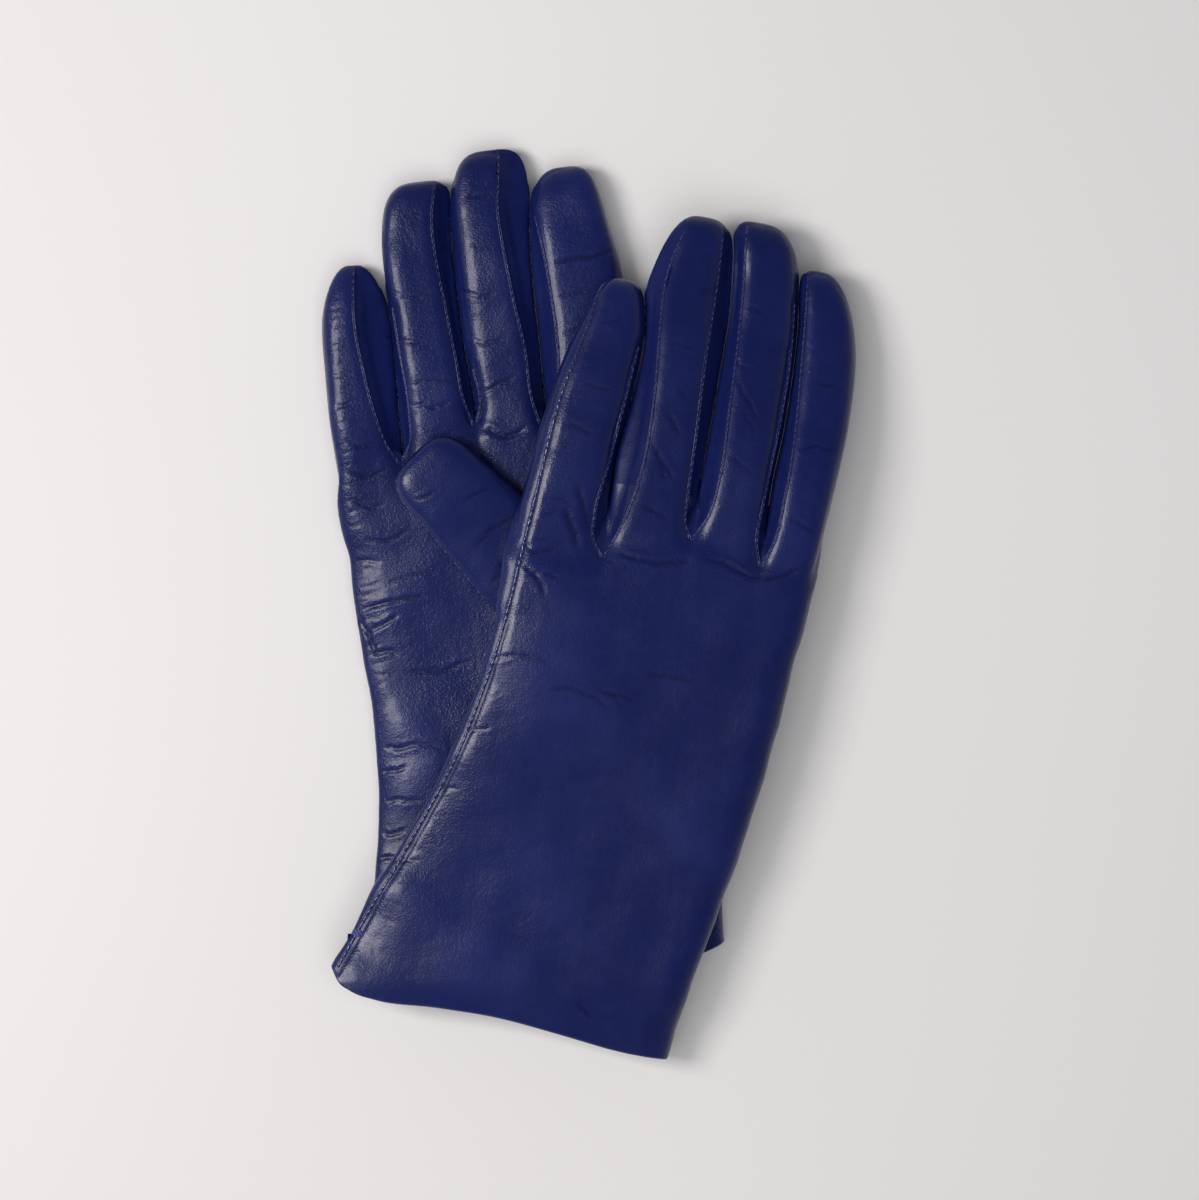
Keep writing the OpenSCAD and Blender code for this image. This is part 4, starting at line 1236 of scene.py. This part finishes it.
def cut_thumb(thumb, pieces, ending, node, slot, points, quads, material, values=None, normals=None):
    """The thumb's surface cut into its pieces, which are (stem, from, to, body) along it."""
    along = points[quads].mean(1)[:, 0]
    world = thumb.world(points)
    for start, a, b, body in pieces:
        q, f, used = part_of(world, quads, (along >= a) & (along < b))
        here = {key: value[used] for key, value in (values or {}).items()}
        obj = new_mesh(start + ending, q, f, material, here, None if normals is None else normals[used])
        thumb.place(obj, body, slot)
        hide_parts(start + node)


def thumb_skin(thumb, creases):
    """The leather's points along the thumb's line, its quads, and its values per vertex."""
    ring = thumb.rings(0, 0.6, 96)
    p = ring.reshape(-1, 3)
    quads = np.array(tube_faces(*ring.shape[:2], closed=False))[:, [0, 3, 2, 1]]
    nor = vertex_normals(p, quads)
    if (nor * (p - p.mean(0))).sum() < 0:
        quads, nor = quads[:, ::-1], -nor
    height = 0.2 * waves(61, 8, 18, 40)(p[:, 0], p[:, 1]) + 0.05 * waves(62, 12, 6, 14)(p[:, 0], p[:, 1])
    height *= smooth((thumb.tip - p[:, 0]) / 14)
    folds, shade_lines, zones = crease_heights(p[:, :2], smooth((nor[:, 2] + 0.1) / 0.4), creases, 300)
    height += folds
    # the seam runs along one side of the thumb
    _, h, z = thumb.curve(np.clip(p[:, 0], 0, thumb.tip))
    seam = np.where(p[:, 1] * thumb.seam_side > 0, np.abs(p[:, 2] - seam_height(z, h)), NO_SEAM)
    height -= 0.3 * np.exp(-(seam / 1.3) ** 2)
    skin = p + nor * height[:, None]
    skin[:, 2] = np.maximum(skin[:, 2], THUMB_FLOOR)
    # raised leather is paler: rubbed wear with a painted highlight
    values = {"seam": seam, "crease": shade_lines, "zone": zones, "rub_and_highlight": np.clip(height / 0.6, 0, 1)}
    return skin, quads, values


def thumb_seam(thumb, name, skin, quads):
    """A raised seam and its stitches along the side of the thumb, to its tip."""
    t = np.arange(10, thumb.tip - 1.5, 0.5)
    tree = ray_tree(skin, quads)
    w, h, z = thumb.curve(t)
    across = thumb.seam_side * w * tip_width(np.clip((t - thumb.tip + TIP_REACH) / TIP_REACH, 0, 1)) * 0.96
    found = [tree.find_nearest(Vector(at))[:2] for at in zip(t, across, seam_height(z, h))]
    raw = np.array([tuple(place) for place, _ in found])
    run = run_along(raw)
    hit, nor, along, side = strip_lines(raw, np.array([tuple(normal) for _, normal in found]))
    size = 0.7
    h = size * 0.3 * strip_fade(run)
    ring = strip_rings(hit, nor, side, THUMB_SEAM, np.full(len(run), size), h)
    verts = ring.reshape(-1, 3)
    faces = tube_faces(*ring.shape[:2])
    obj = new_mesh(name + "_seam", thumb.world(verts), faces, M_SEAM, plain(len(verts)))
    thumb.place(obj, thumb.bodies, "leather")
    verts, faces = stitches((hit, nor, side, along, run, h), STITCH_PITCH)
    obj = new_mesh(name + "_stitches", thumb.world(verts), faces, M_THREAD)
    thumb.place(obj, thumb.bodies, "thread")


def build_thumb(thumb, name, pieces, creases):
    """A thumb's leather, lining, seam and stitches."""
    skin, quads, values = thumb_skin(thumb, creases)
    normals = turned_points(vertex_normals(skin, quads), thumb.angle)
    cut_thumb(thumb, pieces, "_skin", "_leather", "leather", skin, quads, M_LEATHER, values, normals)
    ring = thumb.rings(LINING_INSET, 1.6, 40)
    inner = np.array(tube_faces(*ring.shape[:2], closed=False))[:, [0, 3, 2, 1]]
    cut_thumb(thumb, pieces, "_knit", "_lining", "lining", ring.reshape(-1, 3), inner, M_LINING)
    thumb_seam(thumb, name, skin, quads)


bodies = ("right_hand", "right_thumb_tip")
build_thumb(
    Thumb((0, -10), 134.7,
          [[0, 15, 5.4, 11.4], [14, 15.3, 5.0, 12.0], [28, 15.2, 4.4, 13.2], [46, 13.8, 4.4, 15.2],
           [58, 12.8, 5.0, 16.7], [66, 12.4, 5.1, 17.0], [74.5, 11.5, 4.9, 17.0]], 14, 74.3, 1, 46, bodies),
    "right_thumb", [("right_thumb_base", -99, 37, "right_hand"), ("right_thumb_tip", 37, 99, bodies)],
    [([(40, -10), (43, 0), (42, 8)], 0.6, 0.14), ([(52, -9), (54, -1)], 0.5, 0.12),
     ([(62, 3), (64, 9)], 0.5, 0.2), ([(30, -12), (33, 2), (31, 12)], 0.8, 0.2)])
build_thumb(
    Thumb((40, -30), 93,
          [[0, 12, 6.6, 7.0], [22, 12.2, 5.1, 5.6], [40, 11.2, 4.7, 5.1], [50, 10.6, 4.6, 5.0],
           [60, 9.6, 4.4, 4.8]], 11, 59.8, -1, 30, "left_thumb"),
    "left_thumb", [("left_thumb", -99, 99, "left_thumb")],
    [([(24, -9), (27, 3)], 0.8, 0.3), ([(38, -8), (40, 4)], 0.7, 0.25)])


# ------------------------------------------------------------------ wrist elastics

def elastic(glove, start_z, v0, u0, u1):
    """A ribbed tape inside the palm side of the wrist, between the leather and the lining."""
    nu, nv = int((u1 - u0) / 0.8), 9
    half_width = 3
    u = np.linspace(u0, u1, nu)
    v = np.linspace(v0 - half_width, v0 + half_width, nv)
    a, b = np.meshgrid(u, v, indexing="ij")
    eps = 0.05
    grids = []
    for depth in (1.25, 1.6):
        p = np.stack([a.ravel(), b.ravel(), np.full(a.size, start_z)], 1)
        for _ in range(8):
            f = glove.field(p[:, 0], p[:, 1], p[:, 2]) + depth
            above, below = [glove.field(p[:, 0], p[:, 1], p[:, 2] + e) for e in (eps, -eps)]
            slope = (above - below) / (2 * eps)
            p[:, 2] -= np.clip(f / np.where(np.abs(slope) < 0.2, 1, slope), -1, 1)
        # fine ribs along the tape
        p[:, 2] += (0.05 * np.cos(np.arange(nv) * math.pi))[None, :].repeat(nu, 0).ravel()
        grids.append(p)
    n = nu * nv
    faces = []
    for i in range(nu - 1):
        for j in range(nv - 1):
            q = (i * nv + j, (i + 1) * nv + j, (i + 1) * nv + j + 1, i * nv + j + 1)
            faces += [q, tuple(n + x for x in reversed(q))]
    edge = ([i * nv for i in range(nu)] + [(nu - 1) * nv + j for j in range(1, nv)]
            + [i * nv + nv - 1 for i in range(nu - 2, -1, -1)] + [j for j in range(nv - 2, 0, -1)])
    for i, j in zip(edge, edge[1:] + edge[:1]):
        faces.append((j, i, n + i, n + j))
    obj = glove_mesh(glove.side + "_elastic_tape", glove, np.concatenate(grids), faces, M_ELASTIC)
    attach(obj, glove, "hand", [glove.side + "_wrist_elastic"])


# the right glove's palm faces up and the left glove's faces down
for glove, start_z, u0, u1 in ((RIGHT, 8.5, -60, 14), (LEFT, 1.5, -20, 42)):
    low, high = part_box(glove.side + "_wrist_elastic")
    _, v = glove.plan(*((np.array(low[:2]) + np.array(high[:2])) / 2 / MM))
    elastic(glove, start_z, float(v), u0, u1)


# ------------------------------------------------------------------ floor, light, camera
# Lengths are metres here.


def stage_material():
    n = Nodes("pale_table")
    at = n.coords()
    tone = n.noise(at, 1.6, 2)
    colour = n.mix(n.span(tone, 0.35, 0.65, 0, 1), srgb(240, 239, 239), srgb(236, 235, 234))
    n.set(Base_Color=colour, Roughness=0.7, Specular_IOR_Level=0.2)
    return n.mat


mesh = bpy.data.meshes.new("table_top")
mesh.from_pydata([(-3, -3, 0), (3, -3, 0), (3, 3, 0), (-3, 3, 0)], [], [(0, 1, 2, 3)])
mesh.materials.append(stage_material())
link("table_top", mesh)


def area_light(name, where, size, power, colour):
    """A soft light turned towards the middle of the pair."""
    data = bpy.data.lights.new(name, "AREA")
    data.shape, data.size, data.size_y = "RECTANGLE", size[0], size[1]
    data.energy, data.color = power, colour
    obj = link(name, data)
    obj.location = where
    obj.rotation_euler = (Vector((0, 0, 0.01)) - Vector(where)).to_track_quat("-Z", "Y").to_euler()
    return obj


area_light("softbox", (-0.62, 0.08, 0.88), (0.3, 0.45), 6.2, (1, 0.95, 0.94))
# a broad ceiling glow that lights the table and the leather's colour but isn't mirrored in the gloss
area_light("ceiling", (-0.1, -0.42, 1.6), (1.6, 1.6), 14.0, (1, 1, 1)).visible_glossy = False

world = bpy.data.worlds.new("studio")
bpy.context.scene.world = world
world.use_nodes = True
tree = world.node_tree
# bright towards the horizon and dim overhead, as a pale room with a dark ceiling
where = tree.nodes.new("ShaderNodeTexCoord")
split = tree.nodes.new("ShaderNodeSeparateXYZ")
level = tree.nodes.new("ShaderNodeMapRange")
tree.links.new(where.outputs["Generated"], split.inputs[0])
tree.links.new(split.outputs["Z"], level.inputs["Value"])
for key, value in (("From Min", 0.1), ("From Max", 0.9), ("To Min", 0.36), ("To Max", 0.015)):
    level.inputs[key].default_value = value
tree.links.new(level.outputs["Result"], tree.nodes["Background"].inputs["Strength"])
tree.nodes["Background"].inputs["Color"].default_value = (0.95, 0.95, 1, 1)

bpy.context.scene.view_settings.view_transform = "Standard"
CAMERA_HEIGHT, SEEN_WIDTH = 1.5, 0.3526
camera = bpy.data.cameras.new("camera")
camera.sensor_width = 36
camera.lens = camera.sensor_width * CAMERA_HEIGHT / SEEN_WIDTH
shot = link("camera", camera)
shot.location = (0.0034, 0.0003, CAMERA_HEIGHT)
bpy.context.scene.camera = shot
